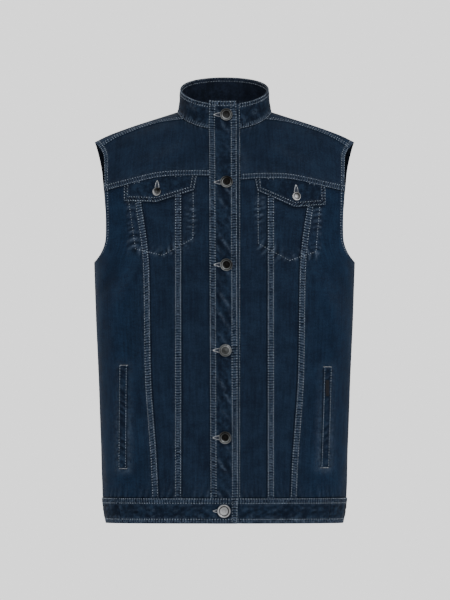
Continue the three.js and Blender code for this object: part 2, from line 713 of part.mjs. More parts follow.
// Where a button stands on the front, and which way it faces
function onFront({ x, z }, lift) {
  const seam = collarBase(Math.asin(clamp(x / NECK.half, -1, 1)), 0);
  if (z < seam.z) {
    const place = bodyPoint(x, z, true, lift);
    const y = bodyPoint(x, z, true, 0).y;
    return { place, normal: outward(x, y, z, true) };
  }
  const angle = Math.asin(x / NECK.half);
  const rise = (z - seam.z) / (collarBase(angle, 1).z - seam.z);
  return { place: collarPoint(angle, rise, lift + PLACKET_SHIFT), normal: collarOutward(angle, rise) };
}
function facingAlong(normal) {
  return new THREE.Quaternion().setFromUnitVectors(new THREE.Vector3(0, 1, 0), normal);
}
function eyeCutter({ place, normal }) {
  const cutter = new THREE.CylinderGeometry(POST.eye, POST.eye, POST.eyeLength, POST.eyeSides);
  cutter.applyQuaternion(facingAlong(normal));
  return cutter.translate(place.x, place.y, place.z);
}
function buttonHead({ radius, height }, postLength) {
  const post = [
    new THREE.Vector2(0, -postLength),
    new THREE.Vector2(POST.radius, -postLength),
    new THREE.Vector2(POST.radius, 0),
  ];
  const head = HEAD_OUTLINE.map(({ out, up }) => new THREE.Vector2(out * radius, up * height));
  return new THREE.LatheGeometry([...post, ...head], BUTTON_SIDES);
}

const vest = new THREE.Group();
function add(name, geometry, colour, finish = CLOTH_FINISH) {
  const mesh = new THREE.Mesh(geometry, new THREE.MeshStandardMaterial({ color: colour, ...finish }));
  mesh.name = name;
  vest.add(mesh);
  return mesh;
}
function addButton(name, where, size, cloth, below, colour) {
  const foot = cloth.outer + BUTTON_FLOAT;
  const button = add(name, buttonHead(size, foot - below - SEAM_GAP), colour, METAL_FINISH);
  const { place, normal } = onFront(where, foot);
  button.position.copy(place);
  button.quaternion.copy(facingAlong(normal));
}

for (const side of sides) {
  add(`front_yoke_${side.name}`, yoke(side), DENIM);
  add(`front_centre_${side.name}`, frontPiece(side, 'centre'), DENIM);
  add(`front_pocket_${side.name}`, frontPiece(side, 'pocket'), DENIM);
  add(`front_side_${side.name}`, frontPiece(side, 'side'), DENIM);
  add(`chest_flap_${side.name}`, flap(side), DENIM_WORN);
  add(`chest_bag_${side.name}`, chestBag(side), POCKETING);
  add(`hand_welt_${side.name}`, welt(side), DENIM_WORN);
  add(`hand_bag_${side.name}`, handBag(side), POCKETING);
  add(`waistband_${side.name}`, frontWaistband(side), DENIM_WORN);
}
add('back', back(), DENIM);
add('waistband_back', backWaistband(), DENIM_WORN);
add('collar', collar(), DENIM_WORN);
add('button_band', buttonBand(), DENIM);
add('placket', placket(), DENIM_WORN);
add('blank_tab', blankTab(), TAB_CLOTH);

PLACKET_BUTTONS.forEach((where, i) => {
  addButton(`button_${i + 1}`, where, PLACKET_BUTTON, PLACKET, BUTTON_BAND.outer, GUNMETAL);
});
const lappedCloth = { outer: WAISTBAND.outer + WAIST_STEP.over };
addButton('button_waist', WAIST_BUTTON, WAIST_BUTTON, lappedCloth, WAISTBAND.outer + WAIST_STEP.under, STEEL);
for (const side of sides) {
  addButton(`button_flap_${side.name}`, FLAP_BUTTON_PLACES[side.name], FLAP_BUTTON, FLAP, PANEL.outer, STEEL);
}

export default vest;
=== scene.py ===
"""A sleeveless denim vest with a stand collar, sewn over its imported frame.

The tables are in millimetres and the scene in metres. +Z is up and the front faces -Y.
"right" and "left" are the wearer's, so right is at -X.
"""

import math
from collections import namedtuple

import bpy
import numpy as np
from bpy.props import FloatProperty, FloatVectorProperty, PointerProperty
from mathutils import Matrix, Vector
from mathutils.bvhtree import BVHTree


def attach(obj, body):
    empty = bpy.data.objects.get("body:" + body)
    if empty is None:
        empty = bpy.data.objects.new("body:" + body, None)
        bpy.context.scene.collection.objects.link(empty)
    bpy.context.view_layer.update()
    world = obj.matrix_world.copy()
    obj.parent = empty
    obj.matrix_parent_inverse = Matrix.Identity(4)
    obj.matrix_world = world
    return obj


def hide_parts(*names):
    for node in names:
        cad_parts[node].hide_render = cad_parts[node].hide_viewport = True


bl_info = {
    "name": "Denim vest",
    "version": (1, 0, 0),
    "blender": (4, 5, 0),
    "location": "View3D > Sidebar > Vest",
    "description": "Sews a sleeveless denim vest with a stand collar, its buttons and its stitching",
    "category": "Add Mesh",
}

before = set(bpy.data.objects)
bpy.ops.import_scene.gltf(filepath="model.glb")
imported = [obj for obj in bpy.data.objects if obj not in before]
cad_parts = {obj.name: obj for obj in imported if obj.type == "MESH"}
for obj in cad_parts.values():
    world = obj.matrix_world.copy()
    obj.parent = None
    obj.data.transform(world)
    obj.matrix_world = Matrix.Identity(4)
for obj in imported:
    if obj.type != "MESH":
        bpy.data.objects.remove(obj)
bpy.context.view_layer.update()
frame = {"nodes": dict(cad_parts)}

MM = 0.001


def lerp(a, b, share):
    return a + (b - a) * share


def smoothstep(value, low, high):
    t = np.clip((value - low) / (high - low), 0, 1)
    return t * t * (3 - 2 * t)


def near(distance, reach):
    """A soft hump, 1 where the distance is nought and almost gone at twice the reach."""
    return np.exp(-((distance / reach) ** 2))


def hermite(along, values, at):
    """The values at places along a line, on a smooth curve through the given ones."""
    values = np.asarray(values, float)
    slopes = np.empty_like(values)
    shape = (-1,) + (1,) * (values.ndim - 1)
    gaps = np.diff(along).reshape(shape)
    slopes[1:-1] = (values[2:] - values[:-2]) / (along[2:] - along[:-2]).reshape(shape)
    slopes[0] = (values[1] - values[0]) / gaps[0]
    slopes[-1] = (values[-1] - values[-2]) / gaps[-1]
    at = np.clip(at, along[0], along[-1])
    i = np.clip(np.searchsorted(along, at) - 1, 0, len(along) - 2)
    extra = (Ellipsis,) + (None,) * (values.ndim - 1)
    width = (along[i + 1] - along[i])[extra]
    t = ((at - along[i]) / (along[i + 1] - along[i]))[extra]
    rest = 1 - t
    return (
        rest * rest * (1 + 2 * t) * values[i]
        + t * t * (3 - 2 * t) * values[i + 1]
        + width * t * rest * (rest * slopes[i] - t * slopes[i + 1])
    )


class Table:
    """Rows with named columns, read on a smooth curve through them."""

    def __init__(self, names, *rows):
        self.columns = dict(zip(names.split(), np.array(rows, float).T))

    def read(self, key, column, at):
        along, at = self.columns[key], np.asarray(at, float)
        if along[1] < along[0]:
            along, at = -along, -at
        return hermite(along, self.columns[column], at)


# Cloth walls: (inner, outer) heights over the outer face of the body panels
PANEL = (-1.6, 0)
COLLAR = (-2.2, 0.4)
BUTTON_BAND = (-2, 0)
PLACKET = (0.5, 2.7)
WAISTBAND = (-1.3, 1.7)
FLAP = (0.5, 2.5)
WELT = (0.5, 2.5)
TAB = (2.9, 3.9)
POCKET_BAG = (-3.8, -2.8)
ALLOWANCE = (-3.0, -1.9)
ALLOWANCE_TURN = 2.2

HALF_GAP = 0.06
FORM_POWER = 2.3

# Sections of the body: half width, and how far the front and the back stand off the middle
SECTIONS = Table(
    "z half front back",
    (60, 220, 88, 110),
    (0, 220, 89, 112),
    (-50, 218, 96, 117),
    (-100, 215, 108, 121),
    (-150, 212, 118, 121),
    (-240, 208.8, 125, 118),
    (-330, 205.8, 121, 112),
    (-430, 201.4, 115, 109),
    (-540, 197.8, 113, 110),
    (-612, 195.4, 113, 111),
    (-640, 192, 112, 110),
    (-657, 188.6, 110.5, 108.5),
)
SHOULDER_CREST = Table(
    "x z", (74, 1.6), (100, -6.7), (145, -21.3), (184, -35.7), (204, -45.3), (216, -52)
)
CREST_SETBACK = 25
CREST_REACH = 208
SETBACK_TOP = -50
SHOULDER_FOOT = -150
SHOULDER_ARC = 90

# The neck seam and the collar's top edge
NECK_HALF, NECK_FRONT, NECK_BACK = 74, 62, 64
NECK_SIDE, NECK_DROP, NECK_RISE, NECK_TURN_IN = -0.5, 28, 15, 14
TOP_HALF, TOP_FRONT, TOP_BACK = 70.6, 58, 60
TOP_SIDE, TOP_SLOPE, TOP_SAG = 38, 0.38, 0.0009
OPENING = {"right": 17, "left": 25.3}

# Edges and seams: degrees round the shoulder, then millimetres below it, and distances from the middle
FRONT_ARMHOLE = Table(
    "level x",
    *((32, 199), (45, 193.6), (54, 192.6), (78, 191.8), (90, 190.8)),
    *((120, 190), (143, 190.6), (155, 193.4), (167, 199), (175, 204.4)),
)
BACK_ARMHOLE = Table(
    "level x",
    *((-32, 199.4), (-16, 205.6), (0, 208), (16, 207), (32, 204.4), (45, 201.4), (60, 197.6)),
    *((75, 195), (90, 192.2), (120, 190.2), (143, 191), (155, 194), (167, 199.4), (175, 204.6)),
)
UNDERARM = 180

SHOULDER_SEAM = Table(
    "x z", (64.8, -10.6), (82, -12.6), (110, -17.6), (145, -29), (175, -42), (199, -57)
)
YOKE_SEAM = Table(
    "x right left",
    (17, -100.8, -107.6),
    (50, -100.4, -105.2),
    (87, -101.4, -105),
    (110, -103.8, -106.8),
    (140, -111, -113.2),
    (162, -116.8, -118.6),
    (193, -125, -125.2),
)
INNER_SEAM = 73.2
OUTER_SEAM = Table(
    "z x",
    *((-100, 140), (-146, 136.7), (-175, 132.4), (-210, 127.4), (-252, 124.2)),
    *((-364, 122.6), (-431, 121), (-490, 117), (-548, 112.8), (-616, 109.4)),
)

PLACKET_EDGES = Table("z free sewn", (20, 18.9, -25.1), (-616, 21.4, -22.7))
PLACKET_TOP = 17.7
BAND_TOP = 12.5
PLACKET_SHIFT = 0.4
STRIP_NECK = (-135, -115, -95, -75, -57, -42)
WAIST_TOP, WAIST_BOTTOM, WAIST_JOIN = -616, -656.6, 169.6
WAIST_FREE_END, WAIST_UNDER_END = 21.2, -18
WAIST_OVER, WAIST_UNDER, WAIST_STEP = 1.4, -2, 10

# Pieces that come to a point below: half widths and heights of their corners
Pointed = namedtuple("Pointed", "top inner tip outer inner_z tip_z outer_z")
FLAPS = {
    "right": Pointed(43.4, 48.2, 108.2, 159.8, -125, -144.2, -142.1),
    "left": Pointed(48.2, 52, 111.5, 160.3, -125.8, -152, -148.2),
}
CHEST_BAGS = {
    "right": Pointed(156, 50.3, 99, 142, -202, -228.8, -218.7),
    "left": Pointed(154.5, 54, 103.7, 145.8, -210, -237, -222.9),
}
Welt = namedtuple("Welt", "top bottom x_top x_bottom half")
WELTS = {
    "right": Welt(-404.5, -568.8, 160.7, 161.8, 6),
    "left": Welt(-407, -567.4, 164.2, 159.4, 6),
}
# Upright oblongs: inner and outer edge, top and bottom
HAND_BAG = (86, 174, -398, -598)
BLANK_TAB = (159.6, 165.2, -427.7, -453.3)

PLACKET_BUTTONS = ((2.7, -3.7), (3.2, -113), (2.9, -243.8), (1.4, -380), (1, -519.5))
WAIST_BUTTON = (-0.8, -636.3)
FLAP_BUTTONS = {"right": (-107, -128.2), "left": (113.8, -135.4)}
BUTTON_FLOAT = 0.4

# The solids' own shallow folds: degrees round from the front's middle, height, spread, length, depth
FOLDS = (
    (128, -330, 9, 120, 2.6),
    (-132, -300, 9, 130, 2.8),
    (152, -470, 8, 110, 2.4),
    (-158, -450, 8, 120, 2.2),
    (178, -210, 10, 90, 2),
)
# Creases: degrees round, height, lean from upright in degrees, length, width, depth.
# A trough has a depth above zero and a ridge below.
MM_PER_DEGREE = 2.7
CREASES = (
    *((-70, -268, 38, 74, 9, 1.5), (-66, -292, 30, 96, 12, -1.1), (-73, -330, 14, 120, 12, 0.9)),
    *((-58, -356, 9, 150, 15, 0.8), (72, -272, -34, 82, 10, 1.3), (67, -300, -26, 110, 13, -1.0)),
    *((62, -352, -10, 140, 15, 0.9), (76, -420, -4, 130, 13, 0.8), (-76, -440, 5, 150, 12, 0.9)),
    *((-36, -300, 3, 170, 14, 0.7), (-33, -470, -4, 120, 11, 0.6), (34, -320, -3, 150, 13, 0.6)),
    *((37, -500, 5, 110, 12, 0.7), (-20, -350, 2, 190, 10, 0.6), (22, -420, -2, 170, 11, 0.6)),
    *((-52, -560, 16, 60, 9, 0.9), (50, -566, -20, 56, 8, 0.9), (-84, -566, -14, 70, 10, 1.1)),
    *((86, -560, 12, 76, 10, 1.0), (-44, -86, 52, 70, 11, 0.8), (-52, -64, 58, 60, 10, -0.7)),
    *((46, -88, -50, 76, 11, 0.8), (54, -66, -56, 56, 10, -0.6), (-22, -62, 20, 54, 9, 0.7)),
    *((25, -64, -24, 50, 9, 0.7), (112, -262, 32, 96, 11, 1.6), (106, -290, 26, 110, 13, -1.2)),
    *((-110, -266, -34, 104, 12, 1.7), (-117, -292, -28, 92, 10, -1.0), (120, -420, 8, 150, 13, 1.1)),
    *((-124, -400, -6, 130, 12, 1.0), (146, -330, 12, 160, 15, 1.2), (-148, -350, -9, 170, 14, 1.2)),
    *((166, -420, 4, 200, 16, 1.0), (-168, -380, -6, 150, 13, 0.9), (150, -110, 42, 90, 13, 1.1)),
    *((-146, -116, -46, 100, 14, 1.2), (172, -70, 12, 60, 12, 0.9), (-170, -78, -16, 56, 11, 0.8)),
    *((134, -560, -14, 80, 11, 1.2), (-138, -566, 18, 70, 10, 1.1), (162, -570, 9, 64, 9, 1.0)),
    *((-176, -560, -7, 72, 10, 0.9),),
)
# Short gathers that stand on the waistband: degrees round, length, width, depth
GATHERS = (
    *((-88, 26, 5, 0.9), (-71, 34, 6, 0.8), (-59, 22, 5, 0.9), (-44, 30, 5, 0.8)),
    *((-28, 24, 4, 0.8), (-17, 34, 5, 0.7), (16, 28, 5, 0.8), (27, 36, 5, 0.8)),
    *((41, 24, 5, 0.9), (57, 32, 6, 0.7), (69, 22, 5, 0.9), (83, 30, 5, 0.8)),
    *((101, 34, 6, 0.9), (118, 24, 5, 0.8), (129, 32, 6, 0.9), (143, 26, 5, 0.9)),
    *((157, 36, 6, 0.8), (171, 24, 5, 0.9), (-103, 28, 5, 0.9), (-114, 36, 6, 0.8)),
    *((-128, 22, 5, 0.9), (-147, 34, 6, 0.9), (-161, 26, 5, 0.8), (-174, 32, 6, 0.9)),
)
GATHER_LEAN = 0.22

SIDES = (("right", -1), ("left", 1))


def unit(vectors):
    return vectors / np.linalg.norm(vectors, axis=-1, keepdims=True)


def raised(value):
    return np.maximum(value, 0) ** FORM_POWER


def rooted(value):
    return np.maximum(value, 0) ** (1 / FORM_POWER)


def neck_reach(x, front):
    return np.where(front, NECK_FRONT, NECK_BACK) * np.sqrt(np.maximum(1 - (x / NECK_HALF) ** 2, 0))


def neck_height(y):
    behind = NECK_SIDE + NECK_RISE * (y / NECK_BACK) ** 2
    turned = np.hypot(y, NECK_TURN_IN) - NECK_TURN_IN
    whole = math.hypot(NECK_FRONT, NECK_TURN_IN) - NECK_TURN_IN
    return np.where(y > 0, behind, NECK_SIDE - NECK_DROP * turned / whole)


def setback(x, z):
    beside = 1 - smoothstep(np.abs(x), NECK_HALF, CREST_REACH)
    return CREST_SETBACK * beside * smoothstep(z, SHOULDER_FOOT, SETBACK_TOP)


def depth(x, z, front):
    behind = setback(x, z)
    return np.where(front, SECTIONS.read("z", "front", z) + behind, SECTIONS.read("z", "back", z) - behind)


def across(x, z):
    return 1 - raised(np.abs(x) / SECTIONS.read("z", "half", z))


def crest(x, front):
    """The height of the form's top line. Beside the neck it is set so that the form meets the neck seam."""
    reach = np.minimum(np.abs(x), NECK_HALF)
    facing = np.where(front, -1, 1)
    y = neck_reach(reach, front) * facing
    z = neck_height(y)
    stand = np.maximum(facing * (y - setback(reach, z)), 0)
    share = stand / (depth(reach, z, front) * rooted(across(reach, z)))
    at_neck = SHOULDER_FOOT + (z - SHOULDER_FOOT) / rooted(1 - raised(share))
    return np.where(np.abs(x) >= NECK_HALF, SHOULDER_CREST.read("x", "z", np.abs(x)), at_neck)


def shoulder_share(x, z, front):
    return np.maximum((z - SHOULDER_FOOT) / (crest(x, front) - SHOULDER_FOOT), 0)


def height_at(x, level, front):
    share = np.cos(np.radians(np.minimum(level, SHOULDER_ARC))) ** (2 / FORM_POWER)
    rounded = SHOULDER_FOOT + (crest(x, front) - SHOULDER_FOOT) * share
    return np.where(level > SHOULDER_ARC, SHOULDER_FOOT - (level - SHOULDER_ARC), rounded)


def level_at(x, z, front):
    share = np.minimum(shoulder_share(x, z, front), 1)
    rounded = np.degrees(np.arccos(share ** (FORM_POWER / 2)))
    return np.where(z < SHOULDER_FOOT, SHOULDER_ARC + SHOULDER_FOOT - z, rounded)


def turn_of(x, z):
    share = np.clip(np.abs(x) / SECTIONS.read("z", "half", z), 0, 1)
    return np.degrees(np.arcsin(share ** (FORM_POWER / 2))) * np.sign(x)


def x_of(turn, z):
    sine = np.sin(np.radians(turn))
    return np.sign(sine) * np.abs(sine) ** (2 / FORM_POWER) * SECTIONS.read("z", "half", z)


def outsideness(x, y, z, front):
    off = y - setback(x, z)
    stand = raised(np.abs(off) / depth(x, z, off < 0))
    return stand - across(x, z) * (1 - raised(shoulder_share(x, z, front)))


def outward(x, y, z, front):
    nudge = 0.05
    slopes = [
        outsideness(x + a, y + b, z + c, front) - outsideness(x - a, y - b, z - c, front)
        for a, b, c in ((nudge, 0, 0), (0, nudge, 0), (0, 0, nudge))
    ]
    return unit(np.stack(slopes, -1))


def sunk(x, y, z, strength):
    """How far the solids' folds and the creases take the cloth in at a point of the form."""
    turn = np.degrees(np.arctan2(x, -y))
    total = np.zeros(np.shape(x))

    def aside(middle):
        return np.mod(turn - middle + 180, 360) - 180

    for middle, height, spread, length, deep in FOLDS:
        total += deep * np.exp(-((aside(middle) / spread) ** 2) - ((z - height) / length) ** 2)
    for middle, height, lean, length, width, deep in CREASES:
        lean = math.radians(lean)
        a, b = aside(middle) * MM_PER_DEGREE, z - height
        along = a * math.sin(lean) + b * math.cos(lean)
        off = a * math.cos(lean) - b * math.sin(lean) + 0.06 * along * along / length
        total += strength * deep * np.exp(-((off / width) ** 2) - np.abs(2 * along / length) ** 2.5)
    for middle, length, width, deep in GATHERS:
        a, b = aside(middle) * MM_PER_DEGREE, z - WAIST_TOP
        lean = a + GATHER_LEAN * b
        total += strength * deep * np.exp(-((lean / width) ** 2) - (b / length) ** 2)
    return total


def body_frame(x, z, front):
    """Points of the body's form and the way out at each."""
    stand = rooted(across(x, z)) * rooted(1 - raised(shoulder_share(x, z, front)))
    y = setback(x, z) + depth(x, z, front) * stand * np.where(front, -1, 1)
    normal = outward(x, y, z, front)
    strength = bpy.context.scene.vest_cloth.crease_strength
    return np.stack([x, y, z], -1) - normal * sunk(x, y, z, strength)[..., None], normal


def collar_base(angle, rise):
    sine, cosine = np.sin(angle), np.cos(angle)
    facing = cosine > 0
    front_back = lerp(np.where(facing, NECK_FRONT, NECK_BACK), np.where(facing, TOP_FRONT, TOP_BACK), rise)
    y = -cosine * front_back
    seam_z = neck_height(-cosine * np.where(facing, NECK_FRONT, NECK_BACK))
    top_z = TOP_SIDE + TOP_SLOPE * y - TOP_SAG * y * y
    return np.stack([lerp(NECK_HALF, TOP_HALF, rise) * sine, y, lerp(seam_z, top_z, rise)], -1)


def collar_frame(angle, rise):
    nudge = 0.01
    round_it = collar_base(angle + nudge, rise) - collar_base(angle - nudge, rise)
    up = collar_base(angle, rise + nudge) - collar_base(angle, rise - nudge)
    return collar_base(angle, rise), unit(np.cross(round_it, up))


def side_seam_x(z, front):
    slack = (HALF_GAP / depth(0, z, front)) ** (FORM_POWER / 2)
    return x_of(90 - np.degrees(slack), z)


def armhole_x(table, level, z, front):
    last_level, last_x = table.columns["level"][-1], table.columns["x"][-1]
    share = np.clip((level - last_level) / (UNDERARM - last_level), 0, 1)
    return np.where(
        level <= last_level, table.read("level", "x", level), lerp(last_x, side_seam_x(z, front), share)
    )


def shoulder_seam_level(x):
    reach = np.maximum(np.abs(x), SHOULDER_SEAM.columns["x"][0])
    return level_at(reach, SHOULDER_SEAM.read("x", "z", reach), True)


def neck_seam_level(x):
    return level_at(x, neck_height(-neck_reach(x, True)), True)


def yoke_seam_level(side, offset):
    return lambda x: level_at(x, YOKE_SEAM.read("x", side, np.abs(x)) + offset, True)


def waist_level(x):
    return np.zeros(np.shape(x)) + SHOULDER_ARC + SHOULDER_FOOT - WAIST_TOP


def body_place(inner, outer, top, bottom, facing=1, front=True):
    """Where a body piece's shares lie: u runs from its inner to its outer edge and v from its top down."""

    def place(u, v):
        x = np.full(np.broadcast(u, v).shape, 100.0)
        for _ in range(28):
            level = lerp(top(x), bottom(x), v)
            ahead = front | (level < 0)
            z = height_at(x, np.abs(level), ahead)
            x = x_of(lerp(turn_of(inner(level, z), z), turn_of(outer(level, z), z), u), z)
        return facing * x, z, ahead

    return place


def run(points, axis):
    """The distance of each point of a grid from its first row or column."""
    steps = np.linalg.norm(np.diff(points, axis=axis), axis=-1)
    start = np.zeros_like(np.take(steps, [0], axis))
    return np.concatenate([start, np.cumsum(steps, axis)], axis)


def spaced(lengths, first, last, pitch):
    """Distances down lines of given lengths: set ones from both ends, and evenly spaced ones between."""
    first, last = np.array(first, float), np.array(last, float)
    count = max(int((np.median(lengths) - first[-1] - last[-1]) / pitch), 2)
    lengths = lengths[:, None]
    squeeze = np.minimum(1, 0.8 * lengths / (first[-1] + last[-1] + 1e-9))
    head, tail = first * squeeze, lengths - last[::-1] * squeeze
    middle = lerp(head[:, -1:], tail[:, :1], np.linspace(0, 1, count + 1)[1:-1])
    return np.concatenate([head, middle, tail], 1)


class Cloth:
    """A piece of cloth as a grid of places on a form, each with the way out and its distances to the edges."""

    def __init__(self, walls, base, normal, keep=None, started=None):
        self.base, self.normal = base, normal
        self.keep = np.ones(base.shape[:2], bool) if keep is None else keep
        self.started = self.keep if started is None else started
        self.left, self.top = run(base, 1), run(base, 0)
        self.right, self.bottom = self.left[:, -1:] - self.left, self.top[-1:] - self.top
        self.inner = np.full(base.shape[:2], float(walls[0]))
        self.outer = np.full(base.shape[:2], float(walls[1]))
        # Marks in order: pale seam band, painted shade, rubbed pale cloth with painted highlight on ridges,
        # each piece's tone with painted light towards the body's sides, and the distance along a seam.
        names = ("band", "shade", "wear", "tint", "run")
        self.marks = {name: np.zeros(base.shape[:2]) for name in names}

    def mark(self, name, amount):
        self.marks[name] = np.maximum(self.marks[name], amount)

    def face(self, inside=False):
        """The points of the outer or the inner face, and the way out of it."""
        height = self.inner if inside else self.outer
        return self.base + self.normal * height[..., None], -self.normal if inside else self.normal

    def area(self):
        points = self.face()[0]
        across_cell, down_cell = np.diff(points, axis=1)[:-1], np.diff(points, axis=0)[:, :-1]
        cells = np.linalg.norm(np.cross(across_cell, down_cell), axis=-1)
        used = self.keep[:-1, :-1] & self.keep[1:, 1:]
        return float((cells * used).sum()) * MM * MM


def evened(shares, rows, columns):
    """Shares with those away from the edges drawn towards their neighbours' mean, so that no lines cross."""
    inner = (slice(rows, -rows), slice(columns, -columns))
    for _ in range(30):
        mean = sum(np.roll(shares, by, axis) for by in (1, -1) for axis in (0, 1)) / 4
        shares[inner] = lerp(shares, mean, 0.5)[inner]
    return shares


def grid(place, form, walls, columns, rows, pitch, trim=None, even=None):
    """Cloth whose columns and rows stand at set distances from its edges and evenly spaced between."""
    u0, v0 = np.linspace(0, 1, 161), np.linspace(0, 1, 81)
    dense = form(*place(u0[None, :], v0[:, None]))[0]
    along_rows, down_columns = run(dense, 1), run(dense, 0)
    u_wanted = spaced(along_rows[:, -1], columns[0], columns[1], pitch[0])
    v_wanted = spaced(down_columns[-1], rows[0], rows[1], pitch[1])
    u_at = np.array([np.interp(w, a, u0) for w, a in zip(u_wanted, along_rows)])
    v_at = np.array([np.interp(w, a, v0) for w, a in zip(v_wanted, down_columns.T)])
    u = np.repeat(u_at[len(v0) // 2][None], v_at.shape[1], 0)
    v = np.repeat(v_at[len(u0) // 2][:, None], u_at.shape[1], 1)
    for _ in range(8):
        u = lerp(u, np.stack([np.interp(v[:, j], v0, u_at[:, j]) for j in range(u.shape[1])], 1), 0.75)
        v = lerp(v, np.stack([np.interp(u[i], u0, v_at[:, i]) for i in range(u.shape[0])], 0), 0.75)
    if even:
        u, v = evened(u, *even), evened(v, *even)
    base, normal = form(*place(u, v))
    if trim is None:
        return Cloth(walls, base, normal)
    inside = trim(base)
    snapped = np.zeros_like(inside)
    for by in ((0, 1), (0, -1), (1, 0), (-1, 0)):
        found = inside & ~np.roll(inside, by, (0, 1)) & ~snapped
        u_far, v_far = (np.roll(shares, by, (0, 1))[found] for shares in (u, v))
        low, high = np.zeros(found.sum()), np.ones(found.sum())
        for _ in range(10):
            middle = (low + high) / 2
            still = trim(form(*place(lerp(u[found], u_far, middle), lerp(v[found], v_far, middle)))[0])
            low, high = np.where(still, middle, low), np.where(still, high, middle)
        base[found], normal[found] = form(*place(lerp(u[found], u_far, high), lerp(v[found], v_far, high)))
        snapped |= found
    return Cloth(walls, base, normal, ~inside | snapped, ~inside)


def puckers(distance, phase):
    """Uneven waves between -1 and 1 along a seam."""
    pitch = bpy.context.scene.vest_sewing.pucker_pitch / MM
    turn = 2 * np.pi * distance
    wander = 1.2 * np.sin(turn / 53 + 2 * phase) + 0.8 * np.sin(turn / 29 + 3 * phase)
    return np.sin(turn / pitch + phase + wander) * (0.7 + 0.3 * np.sin(turn / 71 + phase))


def crumple(cloth, wave, where, height, shade, wear, seam=0.0):
    """Raises and dips cloth along a wave, with painted shade in the troughs, ridges partly rubbed pale and
    partly painted highlight, and painted shade along the seam.
    """
    cloth.outer += height * wave * where
    cloth.mark("shade", np.clip(-wave * shade, 0, 1) * where + seam)
    cloth.mark("wear", wear * np.clip(wave, 0, 1) * where)


def roll_edge(cloth, distance, amount=0.55):
    cloth.outer -= amount * np.clip(1 - distance / 1.3, 0, 1) ** 2


def pucker_height():
    return bpy.context.scene.vest_sewing.pucker_height / MM


def sew_band(cloth, distance, along, lines, phase, strength=1.0, reach=4.0):
    """Gathers the cloth between two lines of stitches that run beside an edge, and past the second."""
    first, second = lines
    full = min(strength, 1)
    wave = puckers(along + 0.4 * distance, phase)
    between = smoothstep(distance, first - 0.3, first + 1.6)
    between *= 1 - smoothstep(distance, second - 1.6, second + 0.3)
    past = np.where(distance > second, near(distance - second, reach), 0)
    past *= smoothstep(distance, second, second + 2)
    cloth.outer += pucker_height() * strength * wave * (between + 0.55 * past)
    for line in {first, second}:
        sunken = near(distance - line, 0.9)
        cloth.outer -= 0.25 * sunken
        # Painted shade in the groove under each line of stitches.
        cloth.mark("shade", 0.75 * sunken * full)
    band = (1 - smoothstep(distance, second + 0.2, second + 2.2)) * strength
    cloth.marks["run"] = np.where(band > cloth.marks["band"], along * MM, cloth.marks["run"])
    cloth.mark("band", band)
    # Painted shade in the troughs of the gathers; past the second line the ridges are partly rubbed pale and
    # partly painted highlight.
    cloth.mark("shade", np.clip(-wave, 0, 1) * (between + 0.5 * past) * full)
    cloth.mark("wear", 0.5 * past * np.clip(wave, 0, 1))


def dark_rungs(cloth, distance, along, lines, pitch, amount):
    """Sinks short troughs that cross a band between its two lines of stitches, and paints shade in them."""
    wave = np.sin(2 * np.pi * along / pitch + 1.4 * np.sin(along / 31) + 0.8 * np.sin(along / 13))
    between = smoothstep(distance, lines[0] + 0.1, lines[0] + 1.3)
    between *= 1 - smoothstep(distance, lines[1] - 1.5, lines[1] - 0.2)
    cloth.outer -= 0.3 * np.clip(wave, 0, 1) * between
    cloth.mark("shade", amount * np.clip(wave + 0.25, 0, 1) * between)


def sew_bag_line(cloth, distance, along, phase, reach):
    """Gathers the cloth strongly on both sides of one line of stitches, with painted shade in the troughs and
    ridges partly rubbed pale, partly painted highlight.
    """
    wave = puckers(along + 0.35 * distance, phase)
    beside = near(distance, reach)
    cloth.outer += 1.7 * pucker_height() * wave * beside * smoothstep(np.abs(distance), 0, 2.5)
    cloth.outer -= 0.3 * near(distance, 1.1)
    cloth.mark("shade", np.clip(-wave * 2.2 - 0.3, 0, 1) * beside)
    cloth.mark("wear", np.clip(wave * 2.6 - 0.6, 0, 1.6) * beside)


NO_TRIANGLES = np.zeros((0, 3), int)


def link(name, points, quads, triangles, finish):
    """A smooth mesh object that rides on the vest, from points in millimetres and its faces."""
    mesh = bpy.data.meshes.new(name)
    corners = np.concatenate([np.ravel(quads), np.ravel(triangles)]).astype(np.int32)
    sizes = np.concatenate([np.full(len(quads), 4), np.full(len(triangles), 3)])
    mesh.vertices.add(len(points))
    mesh.vertices.foreach_set("co", (points * MM).astype(np.float32).ravel())
    mesh.loops.add(len(corners))
    mesh.loops.foreach_set("vertex_index", corners)
    mesh.polygons.add(len(sizes))
    mesh.polygons.foreach_set("loop_start", (np.cumsum(sizes) - sizes).astype(np.int32))
    mesh.update(calc_edges=True)
    mesh.validate()
    mesh.shade_smooth()
    mesh.materials.append(material(finish))
    made = bpy.data.objects.new(name, mesh)
    bpy.context.scene.collection.objects.link(made)
    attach(made, "root")
    return made


def keep_mark(mesh, name, values):
    """Holds a number for each point, which the material reads by its name."""
    held = mesh.attributes.new(name, "FLOAT", "POINT")
    held.data.foreach_set("value", values.astype(np.float32))


